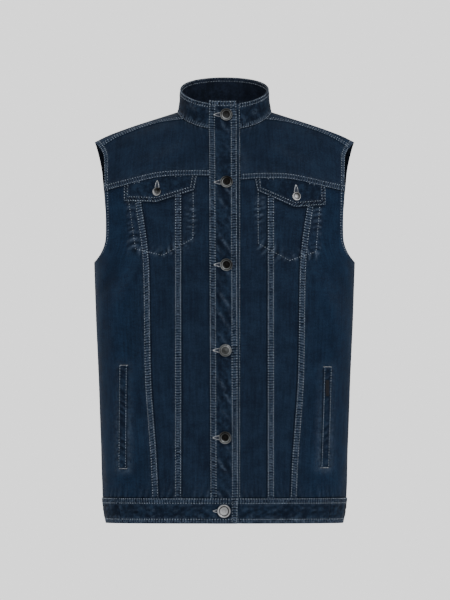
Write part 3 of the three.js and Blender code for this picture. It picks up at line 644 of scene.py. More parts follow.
def make_cloth(name, cloth, finish="denim_worn"):
    """The closed wall between a cloth's two faces, in place of the solid of the same name."""
    size = cloth.keep.size
    index = np.arange(size).reshape(cloth.keep.shape)
    corners = np.stack([index[:-1, :-1], index[:-1, 1:], index[1:, 1:], index[1:, :-1]], -1).reshape(-1, 4)
    corners = corners[cloth.started.ravel()[corners].any(1)]
    kept = cloth.keep.ravel()[corners]
    three = kept.sum(1) == 3
    quads, triangles = corners[kept.all(1)], corners[three][kept[three]].reshape(-1, 3)
    base, normal = cloth.base.reshape(-1, 3)[quads[:, :3]], cloth.normal.reshape(-1, 3)[quads[:, 0]]
    if (np.cross(base[:, 1] - base[:, 0], base[:, 2] - base[:, 0]) * normal).sum() < 0:
        quads, triangles = quads[:, ::-1], triangles[:, ::-1]
    edges = [np.stack([f, np.roll(f, -1, 1)], -1).reshape(-1, 2) for f in (quads, triangles) if len(f)]
    edges = np.concatenate(edges)
    _, place, count = np.unique(np.sort(edges, 1), axis=0, return_index=True, return_counts=True)
    rim = edges[place[count == 1]]
    rim_quads = np.stack([rim[:, 1], rim[:, 0], rim[:, 0] + size, rim[:, 1] + size], -1)
    all_quads = np.concatenate([quads, quads[:, ::-1] + size, rim_quads])
    all_triangles = np.concatenate([triangles, triangles[:, ::-1] + size])
    points = np.concatenate([cloth.face()[0].reshape(-1, 3), cloth.face(True)[0].reshape(-1, 3)])
    used = np.zeros(len(points), bool)
    used[all_quads.ravel()] = True
    used[all_triangles.ravel()] = True
    renumber = np.cumsum(used) - 1
    quads, triangles = renumber[all_quads], renumber[all_triangles]
    made = link(name + "_cloth", points[used], quads, triangles, finish)
    mesh = made.data
    for mark, values in cloth.marks.items():
        keep_mark(mesh, mark, np.tile(values.ravel(), 2)[used])
    keep_mark(mesh, "lining", np.repeat([0.0, 1.0], size)[used])
    across_down = np.stack([cloth.left - cloth.left[:, -1:] / 2, cloth.top], -1).reshape(-1, 2)
    at_point = np.tile(across_down, (2, 1))[used] * MM
    corner_points = np.empty(len(mesh.loops), np.int32)
    mesh.loops.foreach_get("vertex_index", corner_points)
    mesh.uv_layers.new(name="cloth")
    mesh.uv_layers["cloth"].uv.foreach_set("vector", at_point[corner_points].astype(np.float32).ravel())
    if name in frame["nodes"]:
        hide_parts(name)
    cloths[name] = cloth
    return made


cloths = {}
sewing = {}


def declare(name):
    """Works out a piece's width, length and flat area, but keeps none of them."""
    cloth = cloths[name]
    width = float(np.where(cloth.keep, cloth.left, 0).max()) * MM
    kept_down = (np.diff(cloth.top, axis=0) * (cloth.keep[1:] & cloth.keep[:-1])).sum(0)
    length = float(kept_down.max()) * MM
    area = min(max(cloth.area(), 0.31 * width * length), width * length)


def read_line(points, distance, at):
    """The values at set distances along a line of points."""
    return np.stack([np.interp(at, distance, column) for column in points.T], -1)


def ring_quads(rings, sides):
    """Faces that join rings of points, one ring after another."""
    ring = np.arange(sides)
    after = (ring + 1) % sides
    first = np.stack([ring, after, after + sides, ring + sides], -1)
    return np.concatenate([first + r * sides for r in range(rings - 1)])


# A stitch: its share of the pitch, and rings along it, each a share of its length, height and width
STITCH_SHARE = 0.38
THREAD_SIDES = 5
THREAD_RINGS = ((0, -0.5, 0.6), (0.22, 1, 1), (0.78, 1, 1), (1, -0.5, 0.6))
THREAD_ARCH = 0.34
THREAD_FLATNESS = 0.8


class Sewing:
    """The stitches of one piece of cloth, gathered to be made as one mesh."""

    def __init__(self):
        self.starts, self.ends, self.normals = [], [], []

    def line(self, points, normals, from_start=0.0, from_end=0.0):
        pitch = bpy.context.scene.vest_sewing.stitch_length / MM
        distance = run(points, 0)
        room = distance[-1] - from_start - from_end
        if room < pitch:
            return
        count = int(room / pitch)
        step = room / count
        first = from_start + np.arange(count) * step
        self.starts.append(read_line(points, distance, first))
        self.ends.append(read_line(points, distance, first + STITCH_SHARE * step))
        self.normals.append(unit(read_line(normals, distance, first + STITCH_SHARE * step / 2)))

    def beside(self, cloth, edge, offset, from_start=0.0, from_end=0.0, inside=False):
        """A line of stitches at a set distance from one edge of a piece."""
        lines = [getattr(cloth, edge), *cloth.face(inside)]
        if edge in ("top", "bottom"):
            lines = [values.swapaxes(0, 1) for values in lines]
        if edge in ("right", "bottom"):
            lines = [values[:, ::-1] for values in lines]
        distance, *faces = lines
        path, ways = [np.array([read_line(p, d, offset) for p, d in zip(values, distance)]) for values in faces]
        self.line(path, ways, from_start, from_end)

    def across(self, points, normals, length, pitch):
        """Thread wound close across a line, as on a buttonhole or a bar."""
        distance = run(points, 0)
        where = np.arange(pitch / 2, distance[-1], pitch)
        centre, way = read_line(points, distance, where), read_line(normals, distance, where)
        ahead = read_line(points, distance, where + pitch) - read_line(points, distance, where - pitch)
        aside = unit(np.cross(ahead, way))
        self.starts.append(centre - aside * length / 2)
        self.ends.append(centre + aside * length / 2)
        self.normals.append(way)

    def make(self, name, finish, owner, width=None):
        """The lengths of thread, each arched out of the cloth between its two ends."""
        width = width or bpy.context.scene.vest_sewing.thread_width / MM
        starts, ends, normals = (np.concatenate(part) for part in (self.starts, self.ends, self.normals))
        sideways = unit(np.cross(unit(ends - starts), normals))
        rings = []
        for share, height, girth in THREAD_RINGS:
            centre = lerp(starts, ends, share) + normals * (THREAD_ARCH * width * height)
            for angle in 2 * np.pi * np.arange(THREAD_SIDES) / THREAD_SIDES:
                offset = sideways * math.cos(angle) + normals * (THREAD_FLATNESS * math.sin(angle))
                rings.append(centre + offset * (girth * width / 2))
        points = np.stack(rings, 1)
        count, each = points.shape[:2]
        fan = np.array([[0, i + 1, i] for i in range(1, THREAD_SIDES - 1)])
        caps = np.concatenate([fan, fan[:, ::-1] + each - THREAD_SIDES])
        quads = ring_quads(len(THREAD_RINGS), THREAD_SIDES)
        shift = (np.arange(count) * each)[:, None, None]
        quads, caps = (quads + shift).reshape(-1, 4), (caps + shift).reshape(-1, 3)
        made = link(name, points.reshape(-1, 3), quads, caps, finish)
        sewing.setdefault(owner, []).append(made)


class Value:
    """A shader socket that can be reckoned with."""

    def __init__(self, shader, socket):
        self.shader, self.socket = shader, socket

    def maths(self, operation, other=0.0, clamp=False):
        settings = {"operation": operation, "use_clamp": clamp}
        return self.shader.node("ShaderNodeMath", settings, {0: self, 1: other})

    def __add__(self, other):
        return self.maths("ADD", other)

    __radd__ = __add__

    def __sub__(self, other):
        return self.maths("SUBTRACT", other)

    def __rsub__(self, other):
        return (self * -1.0) + other

    def __mul__(self, other):
        return self.maths("MULTIPLY", other)

    __rmul__ = __mul__

    def sine(self):
        return self.maths("SINE")

    def clamped(self):
        return self.maths("ADD", clamp=True)

    def ramp(self, low, high):
        settings = {"interpolation_type": "SMOOTHSTEP"}
        return self.shader.node("ShaderNodeMapRange", settings, {0: self, 1: low, 2: high})


class Shader:
    """A material's node tree, built a node at a time."""

    def __init__(self, name):
        self.material = bpy.data.materials.new(name)
        self.material.use_nodes = True
        self.tree = self.material.node_tree
        self.tree.nodes.clear()

    def node(self, kind, settings=None, inputs=None, output=0):
        made = self.tree.nodes.new(kind)
        for key, value in (settings or {}).items():
            setattr(made, key, value)
        for key, value in (inputs or {}).items():
            if isinstance(value, Value):
                self.tree.links.new(value.socket, made.inputs[key])
            else:
                made.inputs[key].default_value = value
        return Value(self, made.outputs[output]) if made.outputs else None

    def mix(self, share, first, second):
        settings = {"data_type": "RGBA", "clamp_factor": True}
        return self.node("ShaderNodeMix", settings, {0: share, 6: first, 7: second}, 2)

    def place(self):
        return self.node("ShaderNodeTexCoord", output=3)

    def mark(self, name):
        return self.node("ShaderNodeAttribute", {"attribute_name": name}, output=2)

    def noise(self, vector, scale, detail=2.0, roughness=0.5):
        inputs = {"Vector": vector, "Scale": scale, "Detail": detail, "Roughness": roughness}
        return self.node("ShaderNodeTexNoise", {"noise_dimensions": "3D"}, inputs)

    def finish(self, colour, roughness, height=None, bump=0.3, lift=0.0004, **constants):
        inputs = {"Base Color": colour, "Roughness": roughness}
        inputs.update({key.replace("_", " "): value for key, value in constants.items()})
        if height is not None:
            relief = {"Strength": bump, "Distance": lift, "Height": height}
            inputs["Normal"] = self.node("ShaderNodeBump", None, relief)
        surface = self.node("ShaderNodeBsdfPrincipled", None, inputs)
        self.node("ShaderNodeOutputMaterial", None, {"Surface": surface})
        return self.material


def rgba(colour, scale=1.0):
    return (colour[0] * scale, colour[1] * scale, colour[2] * scale, 1.0)


def denim(name, strength=1.0, mottle=0.0):
    """Indigo twill, faintly streaked along the warp and across the weft, worn pale along its seams, with
    painted shade, painted highlights and painted light towards the sides where the cloth is marked.
    """
    sizes = bpy.context.scene.vest_cloth
    s = Shader(name)
    cloth = s.node("ShaderNodeUVMap", {"uv_map": "cloth"})
    u = s.node("ShaderNodeSeparateXYZ", None, {0: cloth})
    v = Value(s, u.socket.node.outputs[1])

    def streaks(across, down, roughness):
        scale = {0: cloth, 1: (across, down, 1)}
        stretched = s.node("ShaderNodeVectorMath", {"operation": "MULTIPLY"}, scale)
        return s.noise(stretched, 1.0, 3.0, roughness) - 0.5

    place = s.place()
    warp, weft, fine = streaks(300, 16, 0.7), streaks(70, 300, 0.65), streaks(520, 420, 0.75)
    cloud = s.noise(place, 38.0, 4.0, 0.66) - 0.5
    blot = s.noise(place, 170.0, 3.0, 0.7) - 0.5
    tufts = s.noise(place, 360.0, 3.0, 0.75) - 0.5
    twill = ((u * 0.5 + v * 0.866) * (2 * math.pi / sizes.twill_pitch)).sine() * 0.5
    names = ("band", "shade", "wear", "tint", "run", "lining")
    band, shade, wear, tint, along, lining = (s.mark(name) for name in names)
    rung = (along * (2 * math.pi / sizes.rung_pitch) + blot * 7.0).sine() * 0.5 + 0.5
    fleck = warp * 1.15 + weft * 0.6 + fine * 1.9 + cloud * 1.3
    pale = (fleck + (cloud * 1.6 + blot * 2.4) * mottle + 0.34).clamped()
    # Each piece's tone, and painted light: bluer, slightly paler cloth towards the body's sides.
    base = s.mix(tint, rgba(sizes.indigo_green, strength), rgba(sizes.indigo_blue, strength))
    faded = s.mix(tint, rgba(sizes.faded_green, strength), rgba(sizes.faded_blue, strength))
    # Rubbed pale cloth together with painted highlights on ridges, in the worn colour.
    rubbed_and_highlit = (wear * (blot * 1.6 + tufts * 1.4 + 0.36)).clamped()
    worn = (band * (rung * 0.72 + blot * 1.9 + tufts * 2.3 - 0.08)).clamped()
    # Painted shade in troughs, grooves and under edges, and darker cloth between the pale rungs of a seam band.
    dark = (shade * (tufts * 1.4 + 0.75) + band * (0.3 - rung * 0.85)).clamped()
    colour = s.mix(rubbed_and_highlit, s.mix(pale, base, faded), rgba(sizes.worn))
    colour = s.mix(dark, s.mix(worn, colour, rgba(sizes.worn)), rgba(sizes.indigo_green, 0.42))
    inner = s.mix(pale, rgba(sizes.inside, 0.8), rgba(sizes.inside, 1.7))
    colour = s.mix(lining, colour, s.mix(worn * 0.3, inner, rgba(sizes.worn)))
    roughness = cloud * 0.16 + band * 0.04 + 0.82
    height = twill * 0.55 + fine * 0.6 + warp * 0.5 + (tufts + 0.5) * 0.6 * band
    return s.finish(colour, roughness, height, sizes.bump, 0.0005, Specular_IOR_Level=0.04)


def plain_cotton(name, colour):
    s = Shader(name)
    place = s.place()
    weave = s.noise(place, 1400.0, 2.0, 0.6)
    cloud = s.noise(place, 60.0, 3.0, 0.6)
    mixed = s.mix((cloud * 0.6 + weave * 0.5).clamped(), rgba(colour, 0.7), rgba(colour, 1.35))
    return s.finish(mixed, (cloud - 0.5) * 0.1 + 0.88, weave, 0.4, 0.0003, Specular_IOR_Level=0.1)


def yarn(name, colour):
    s = Shader(name)
    place = s.place()
    ply = s.noise(place, 2600.0, 2.0, 0.6) - 0.5
    age = s.noise(place, 120.0, 4.0, 0.7)
    mixed = s.mix((age.ramp(0.34, 0.66) * 0.8 + ply * 0.6).clamped(), rgba(colour, 0.3), rgba(colour, 1.3))
    return s.finish(mixed, ply * 0.2 + 0.72, ply, 0.5, 0.0002, Specular_IOR_Level=0.2)


def metal(name, colour):
    """Plated metal, rubbed and hazed, darkened where the mesh marks it: the buttons' own dark middles, and
    painted shade and painted reflections on their rims.
    """
    trim = bpy.context.scene.vest_trim
    s = Shader(name)
    place = s.place()
    rub = s.noise(place, 420.0, 4.0, 0.7)
    haze = s.noise(place, 120.0, 3.0, 0.6)
    hollow = s.mark("hollow")
    worn = (haze.ramp(0.35, 0.75) * 0.5 + (rub - 0.5) * 0.5).clamped()
    mixed = s.mix(hollow, s.mix(worn, rgba(colour), rgba(colour, 0.45)), rgba(trim.hollow))
    rough = (rub - 0.5) * 0.14 + haze * 0.08 + hollow * 0.25 + trim.shine
    return s.finish(mixed, rough, rub, 0.12, 0.0002, Metallic=1.0 - hollow * 0.35, Specular_IOR_Level=0.08)


def gather_waist(cloth):
    """The waistband's own crumples, slanted and uneven, with painted shade in their troughs and crests partly
    rubbed pale, partly painted highlight.
    """
    a, b = cloth.left, cloth.top
    rise = 0.0
    for pitch, lean, phase, amount in ((31, 2.6, 0.4, 0.34), (17, -1.9, 1.9, 0.26), (47, 3.6, 3.1, 0.32)):
        wander = 2.6 * np.sin(a / 31 + phase + b / 13) + 1.9 * np.sin(a / 14 + 2 * phase - b / 7)
        rise = rise + amount * np.sin(2 * np.pi * (a + lean * b) / pitch + phase + wander)
    middle = smoothstep(b, 9, 14) * (1 - smoothstep(b, 29, 34))
    cloth.outer += rise * middle
    cloth.mark("shade", np.clip(-rise, 0, 1) * middle * 1.1)
    cloth.mark("wear", np.clip(rise - 0.1, 0, 1) * middle * 0.6)


# Distances from an edge at which points stand: a lapped seam, a turned or free edge, and a plain one
LAPPED = (0, 0.6, 1.3, 2.4, 3.6, 4.4, 5.1, 6.8, 8.4, 9.6, 10.8, 13)
FREE = (0, 0.6, 1.3, 2.4, 4, 5.6, 6.8, 8, 10)
PLAIN = (0, 0.7, 1.5, 3)
COVERED = (0, 1.8, 3.6, 4.6, 5.2, 6, 7, 8.4)
LAP = 4.7
LAP_HEIGHT = 1.55

# Distances of the lines of stitches from the edges they run beside
SEAM_LINES = (1.3, 9.4)
HEM_LINES = (6.6, 6.6)
YOKE_LINES = (1.3, 8.2)
SHOULDER_LINES = (1.3, 6.8)
COLLAR_LINES = (1.0, 6.0)
FLAP_LINES = (1.3, 6.9)


def lapped(cloth, phase):
    """Turns a piece's left edge over the next piece and sews it down with two lines."""
    cloth.inner += (LAP_HEIGHT + 0.2) * (1 - smoothstep(cloth.left, LAP - 0.4, LAP + 0.4))
    cloth.outer += LAP_HEIGHT * (1 - smoothstep(cloth.left, SEAM_LINES[1] + 0.2, SEAM_LINES[1] + 1.6))
    roll_edge(cloth, cloth.left)
    sew_band(cloth, cloth.left, cloth.top, SEAM_LINES, phase)


def side_edge(cloth, distance, shut, phases, strength, reach):
    """Hems the part of a side edge at the armhole and gathers the part that is sewn shut below it, with painted
    shade along the seam and in the gathers' troughs.
    """
    beside = near(distance, 7) * shut
    wave = puckers(cloth.top + 0.3 * distance, phases[0])
    seam = near(distance, 1.3) * beside
    crumple(cloth, wave, beside, 0.25 * smoothstep(distance, 0.5, 2.5), 0.5, 0.4, seam)
    roll_edge(cloth, distance + 3 * shut)
    sew_band(cloth, distance + 12 * shut, cloth.top, HEM_LINES, phases[1], strength, reach)


def front_columns(side):
    """The upright lines between which a front's pieces lie, each a distance from the middle."""
    edge = OPENING[side]
    return {
        "middle": lambda level, z: edge,
        "inner": lambda level, z: INNER_SEAM - HALF_GAP,
        "inner_lap": lambda level, z: INNER_SEAM - LAP,
        "outer": lambda level, z: OUTER_SEAM.read("z", "x", z) - HALF_GAP,
        "outer_lap": lambda level, z: OUTER_SEAM.read("z", "x", z) - LAP,
        "armhole": lambda level, z: armhole_x(FRONT_ARMHOLE, level, z, True),
    }


def bag_outline(side):
    """The line of stitches that holds a chest pocket's bag, from its inner top round to its outer top."""
    bag = CHEST_BAGS[side]
    first, last = (float(YOKE_SEAM.read("x", side, x)) for x in (bag.inner, bag.top))
    shoulders = [(bag.inner, first - 4), (bag.inner - 0.6, (first + bag.inner_z) / 2)]
    return np.array(shoulders + corners_of(bag) + [(bag.top, last - 4)])


def corners_of(piece):
    return [(piece.inner, piece.inner_z), (piece.tip, piece.tip_z), (piece.outer, piece.outer_z)]


def mark_creases(cloth, strength=1.0):
    """Paints shade in the troughs of the creases and highlight on their ridges."""
    folds = sunk(cloth.base[..., 0], cloth.base[..., 1], cloth.base[..., 2], 1.0) * strength
    cloth.mark("shade", np.clip(folds * 0.22, 0, 0.6))
    cloth.mark("wear", np.clip(folds * -0.12, 0, 0.3))


def off_line(x, z, line):
    """The distance of each point from a bent line, and how far along it the nearest place is."""
    best, along, gone = np.full(x.shape, 1e9), np.zeros(x.shape), 0.0
    for (x0, z0), (x1, z1) in zip(line[:-1], line[1:]):
        length = math.hypot(x1 - x0, z1 - z0)
        share = np.clip(((x - x0) * (x1 - x0) + (z - z0) * (z1 - z0)) / length**2, 0, 1)
        distance = np.hypot(x - x0 - share * (x1 - x0), z - z0 - share * (z1 - z0))
        along = np.where(distance < best, gone + share * length, along)
        best = np.minimum(best, distance)
        gone += length
    return best, along


def crowd_welt(cloth, welt, x, z, phase):
    """Gathers and rubs the cloth round a hand pocket's welt, with painted shade in the gathers' troughs and
    their ridges partly painted highlight.
    """
    down = np.clip((z - welt.top) / (welt.bottom - welt.top), 0, 1)
    middle = lerp(welt.x_top, welt.x_bottom, down)
    tall = np.maximum(np.maximum(z - welt.top, welt.bottom - z), 0)
    wide = np.maximum(np.abs(x - middle) - welt.half, 0)
    lower = lerp(0.3, 0.75, smoothstep(-z, 440, 520))
    cloth.mark("wear", lower * near(np.hypot(tall, wide), 8))
    beside = near(wide, 6) * (tall <= 0) * np.where(x > middle, 1.0, 0.6)
    crumple(cloth, puckers(z + 0.4 * wide, phase), beside, 0.3 * smoothstep(wide, 0.5, 3), 1.4, 0.5)


def crowd_bag(cloth, side, x, z, phase):
    """Gathers and rubs the cloth round a chest pocket's bag, with painted shade in the gathers and the flap's
    painted shadow below it.
    """
    line = bag_outline(side)
    first, last = line[:, 0].min(), line[:, 0].max()
    inside = (x > first) & (x < last) & (z > line[:, 1].min())
    distance, along = off_line(x, z, line)
    sew_bag_line(cloth, distance, along, phase, np.where(inside, 10.0, 4.0))
    below_yoke = z < YOKE_SEAM.read("x", side, x) - 3
    cloth.mark("wear", 0.35 * near(distance, np.where(inside, 3.0, 2.2)) * below_yoke)
    # The flap's painted shadow on the cloth below its edge.
    flap_foot = np.array(corners_of(FLAPS[side])) - (0, 1.2)
    cloth.mark("shade", 0.8 * near(off_line(x, z, flap_foot)[0], 2.6))
    # Painted highlight in a faint band where the bag puffs out inside each side.
    puff_highlight = near(np.minimum(x - first, last - x) - 8, 9)
    low = smoothstep(-z, 104, 112) * (1 - smoothstep(-z, 212, 236))
    cloth.mark("wear", 0.08 * puff_highlight * low)


def body_pitch(scale=1.0):
    pitch = bpy.context.scene.vest_cloth.spacing / MM * scale
    return pitch, pitch


def make_fronts(side, facing):
    phase = 0.7 if facing < 0 else 2.3
    columns = front_columns(side)
    spans = {
        "centre": ("middle", "inner", PLAIN, COVERED, 0.1),
        "pocket": ("inner_lap", "outer", LAPPED, COVERED, 0.15),
        "side": ("outer_lap", "armhole", LAPPED, FREE, 0.0),
    }
    for piece, (inner, outer, from_left, from_right, tint) in spans.items():
        seam = yoke_seam_level(side, -HALF_GAP)
        place = body_place(columns[inner], columns[outer], seam, waist_level, facing)
        even = (6, 13) if piece == "side" else None
        cloth = grid(place, body_frame, PANEL, (from_left, from_right), (PLAIN, PLAIN), body_pitch(), even=even)
        x, z = np.abs(cloth.base[..., 0]), cloth.base[..., 2]
        cloth.marks["tint"][:] = tint
        roll_edge(cloth, cloth.top)
        roll_edge(cloth, cloth.bottom, 0.4)
        if piece != "centre":
            lapped(cloth, phase + len(piece))
            cloth.marks["band"] *= lerp(0.45, 1, smoothstep(cloth.bottom, 8, 34))
        if piece == "side":
            # Painted light: bluer, slightly paler cloth towards the body's side.
            cloth.marks["tint"] = lerp(0.2, 1.0, smoothstep(cloth.left, 0, 55))
            side_edge(cloth, cloth.right, smoothstep(cloth.top, 108, 124), (phase + 3, phase + 4), 0.7, 2.0)
            crowd_welt(cloth, WELTS[side], x, z, phase + 5)
        else:
            # Painted shadow just past the fold of the neighbouring piece that laps over this edge.
            cloth.mark("shade", near(cloth.right - LAP - 0.7, 1.2))
        crowd_bag(cloth, side, x, z, phase + 1.2)
        # Gathers above the waistband, with painted shade in their troughs and along the seam, and ridges partly
        # rubbed pale, partly painted highlight.
        wave = puckers(cloth.left + 0.3 * cloth.bottom, phase + 6)
        crumple(cloth, wave, near(cloth.bottom, 16), 0.3, 0.6, 0.6, 0.7 * near(cloth.bottom, 2.0))
        # Painted shadow under the yoke's lapped edge.
        cloth.mark("shade", 0.9 * near(cloth.top, 3.4))
        mark_creases(cloth)
        make_cloth(f"front_{piece}_{side}", cloth, "denim")


def make_yoke(side, facing):
    phase = 1.1 if facing < 0 else 3.7
    columns = front_columns(side)
    neck_end = SHOULDER_SEAM.columns["x"][0]

    def top(x):
        reach = np.abs(x)
        at_neck = neck_seam_level(np.minimum(reach, neck_end)) + 0.25
        return np.where(reach < neck_end, at_neck, shoulder_seam_level(reach))

    place = body_place(columns["middle"], columns["armhole"], top, yoke_seam_level(side, -1.6), facing)
    cloth = grid(place, body_frame, PANEL, (PLAIN, FREE), (PLAIN, LAPPED), body_pitch())
    cloth.inner += 2.6 * (1 - smoothstep(cloth.bottom, 1.4, 2.2))
    cloth.outer += 2.1 * (1 - smoothstep(cloth.bottom, 8.4, 12))
    roll_edge(cloth, cloth.bottom)
    sew_band(cloth, cloth.bottom, cloth.left, YOKE_LINES, phase, 0.7, 6.0)
    # Painted shade down the middle of the yoke seam's band.
    cloth.mark("shade", 0.8 * near(cloth.bottom - 5.2, 1.8))
    roll_edge(cloth, cloth.right)
    sew_band(cloth, cloth.right, cloth.top, HEM_LINES, phase + 4, 0.9, 3.0)
    cloth.mark("wear", 0.16 * near(cloth.bottom, 18))
    cloth.mark("wear", 0.3 * near(cloth.left, 12) * smoothstep(cloth.top, 20, 70))
    under_neck = near(cloth.top, 9) * (1 - smoothstep(np.abs(cloth.base[..., 0]), 60, 74))
    wave = puckers(cloth.left * 1.2 + 0.3 * cloth.top, phase + 2)
    crumple(cloth, wave, under_neck, 0.35 * smoothstep(cloth.top, 1, 4), 0.8, 0.8)
    mark_creases(cloth, 1.6)
    cloth.marks["tint"][:] = 0.12
    make_cloth(f"front_yoke_{side}", cloth, "denim")


def make_allowance(side, facing):
    """The pressed-open edges inside a side seam, which close it from within."""
    height = SHOULDER_FOOT - (UNDERARM - SHOULDER_ARC)

    def place(u, v):
        z = lerp(height - 3, WAIST_TOP + 1, v) + 0 * u
        turn = facing * lerp(90 - ALLOWANCE_TURN, 90 + ALLOWANCE_TURN, u) + 0 * v
        return x_of(turn, z), z, np.cos(np.radians(turn)) > 0

    cloth = grid(place, body_frame, ALLOWANCE, (PLAIN, PLAIN), (PLAIN, PLAIN), (3, 5))
    make_cloth(f"side_allowance_{side}", cloth, "denim")


def in_neck(points):
    x, y, z = points[..., 0], points[..., 1], points[..., 2]
    reach = np.where(y < 0, NECK_FRONT, NECK_BACK) + 0.2
    return ((x / (NECK_HALF + 0.2)) ** 2 + (y / reach) ** 2 < 1) & (z > -60)


def make_back():
    def left_edge(level, z):
        return armhole_x(BACK_ARMHOLE, level, z, False)

    def right_edge(level, z):
        return -left_edge(level, z)

    def top(x):
        return -(shoulder_seam_level(x) + 0.6)

    place = body_place(right_edge, left_edge, top, waist_level, 1, False)
    cloth = grid(place, body_frame, PANEL, (FREE, FREE), (LAPPED, PLAIN), body_pitch(1.25), in_neck)
    cloth.inner += 1.75 * (1 - smoothstep(cloth.top, 1, 1.8))
    cloth.outer += 1.4 * (1 - smoothstep(cloth.top, 7, 9))
    roll_edge(cloth, cloth.top)
    sew_band(cloth, cloth.top, cloth.left, SHOULDER_LINES, 0.9, 0.6, 3.0)
    shut = 1 - smoothstep(cloth.bottom, 370, 386)
    side_edge(cloth, cloth.left, shut, (4.4, 1.4), 0.8, 3.0)
    side_edge(cloth, cloth.right, shut, (5.9, 2.9), 0.8, 3.0)
    roll_edge(cloth, cloth.bottom, 0.4)
    crumple(cloth, puckers(cloth.left + 0.3 * cloth.bottom, 5.1), near(cloth.bottom, 18), 0.35, 0.6, 0.6)
    mark_creases(cloth, 1.8)
    # Each piece's tone, with painted light: bluer, slightly paler cloth towards the body's sides.
    cloth.marks["tint"] = lerp(1.0, 0.35, smoothstep(np.minimum(cloth.left, cloth.right), 20, 150))
    make_cloth("back", cloth, "denim")


def make_collar():
    start = math.asin(OPENING["left"] / NECK_HALF)
    end = 2 * math.pi - math.asin(OPENING["right"] / NECK_HALF)

    def place(u, v):
        return lerp(start, end, u) + 0 * v, 1 - v + 0 * u

    edges = (0, 0.6, 1.3, 2.4, 4, 5.4, 6.4, 7.4, 9)
    cloth = grid(place, collar_frame, COLLAR, (PLAIN, PLAIN), (edges, edges), (2.4, 2.2))
    a, b, up = cloth.left, cloth.top, cloth.bottom
    cloth.base[..., 2] += 0.1 * (1 - smoothstep(up, 0, 2))
    cloth.outer += 0.9 * (1 - smoothstep(up, 2, 9))
    roll_edge(cloth, b)
    roll_edge(cloth, up)
    sew_band(cloth, b, a, COLLAR_LINES, 0.3, 0.85, 3.0)
    sew_band(cloth, up, a, (1.6, 6.0), 2.1, 1.0, 4.0)
    crumple(cloth, puckers(a + 0.2 * up, 2.1), near(up, 10), 0.5 * smoothstep(up, 1.5, 4), 1.6, 1.1)
    cloth.mark("wear", 0.9 * near(b - 0.5, 1.1))
    dark_rungs(cloth, b, a, COLLAR_LINES, 7.4, 1.5)
    dents = np.sin((a + 0.9 * b) / 7 + 1.6 * np.sin(a / 23)) * np.sin((a - 0.8 * b) / 17 + 1.1 * np.sin(b / 8))
    dents += 0.5 * np.sin((a - 1.4 * b) / 5 + 2.1 * np.sin(a / 15))
    dents *= smoothstep(b, 5, 12) * smoothstep(up, 3, 9)
    cloth.base += cloth.normal * (0.55 * dents)[..., None]
    # Painted shade in the dents and painted highlight on their crests.
    cloth.mark("shade", 0.75 * np.clip(-dents, 0, 1))
    cloth.mark("wear", 0.45 * np.clip(dents - 0.2, 0, 1))
    make_cloth("collar", cloth)


def strip_cloth(sewn, free, top_height, walls, offsets, pitch):
    """A strip up the front's middle, on the body below the neck seam and on the collar above it."""
    seam, top = collar_base(0.0, 0.0)[2], collar_base(0.0, 1.0)[2]
    shares = np.linspace(0, 1, 41)
    bases, normals = [], []
    for z in np.concatenate([np.arange(WAIST_TOP + HALF_GAP, -150, 17), STRIP_NECK]):
        x = lerp(sewn(z), free(z), shares)
        base, normal = body_frame(x, np.full_like(x, z), np.full(x.shape, True))
        bases.append(base)
        normals.append(normal)
    for rise in (0, 0.2, 0.6, (top_height - seam) / (top - seam)):
        z = lerp(seam, top_height, rise)
        angle = np.arcsin(lerp(sewn(z), free(z), shares) / NECK_HALF)
        base, normal = collar_frame(angle, np.full_like(angle, rise))
        if rise == 0:
            normal = unit(normal + outward(base[:, 0], base[:, 1], base[:, 2], True))
        bases.append(base + normal * PLACKET_SHIFT)
        normals.append(normal)
    bases, normals = np.array(bases)[::-1], np.array(normals)[::-1]
    down = run(bases, 0)[:, len(shares) // 2]

    def place(u, v):
        return u + 0 * v, v + 0 * u

    def form(u, v):
        at = u * (len(shares) - 1)
        low = np.clip(at.astype(int), 0, len(shares) - 2)
        share, low = (at - low)[..., None], low[..., None, None]

        def pick(lines):
            values = hermite(down, lines, v * down[-1])
            first, second = (np.take_along_axis(values, low + i, -2)[..., 0, :] for i in (0, 1))
            return lerp(first, second, share)

        return pick(bases), unit(pick(normals))

    return grid(place, form, walls, offsets, ((0, 0.6, 1.3, 2.4, 4, 6, 8), PLAIN), pitch)


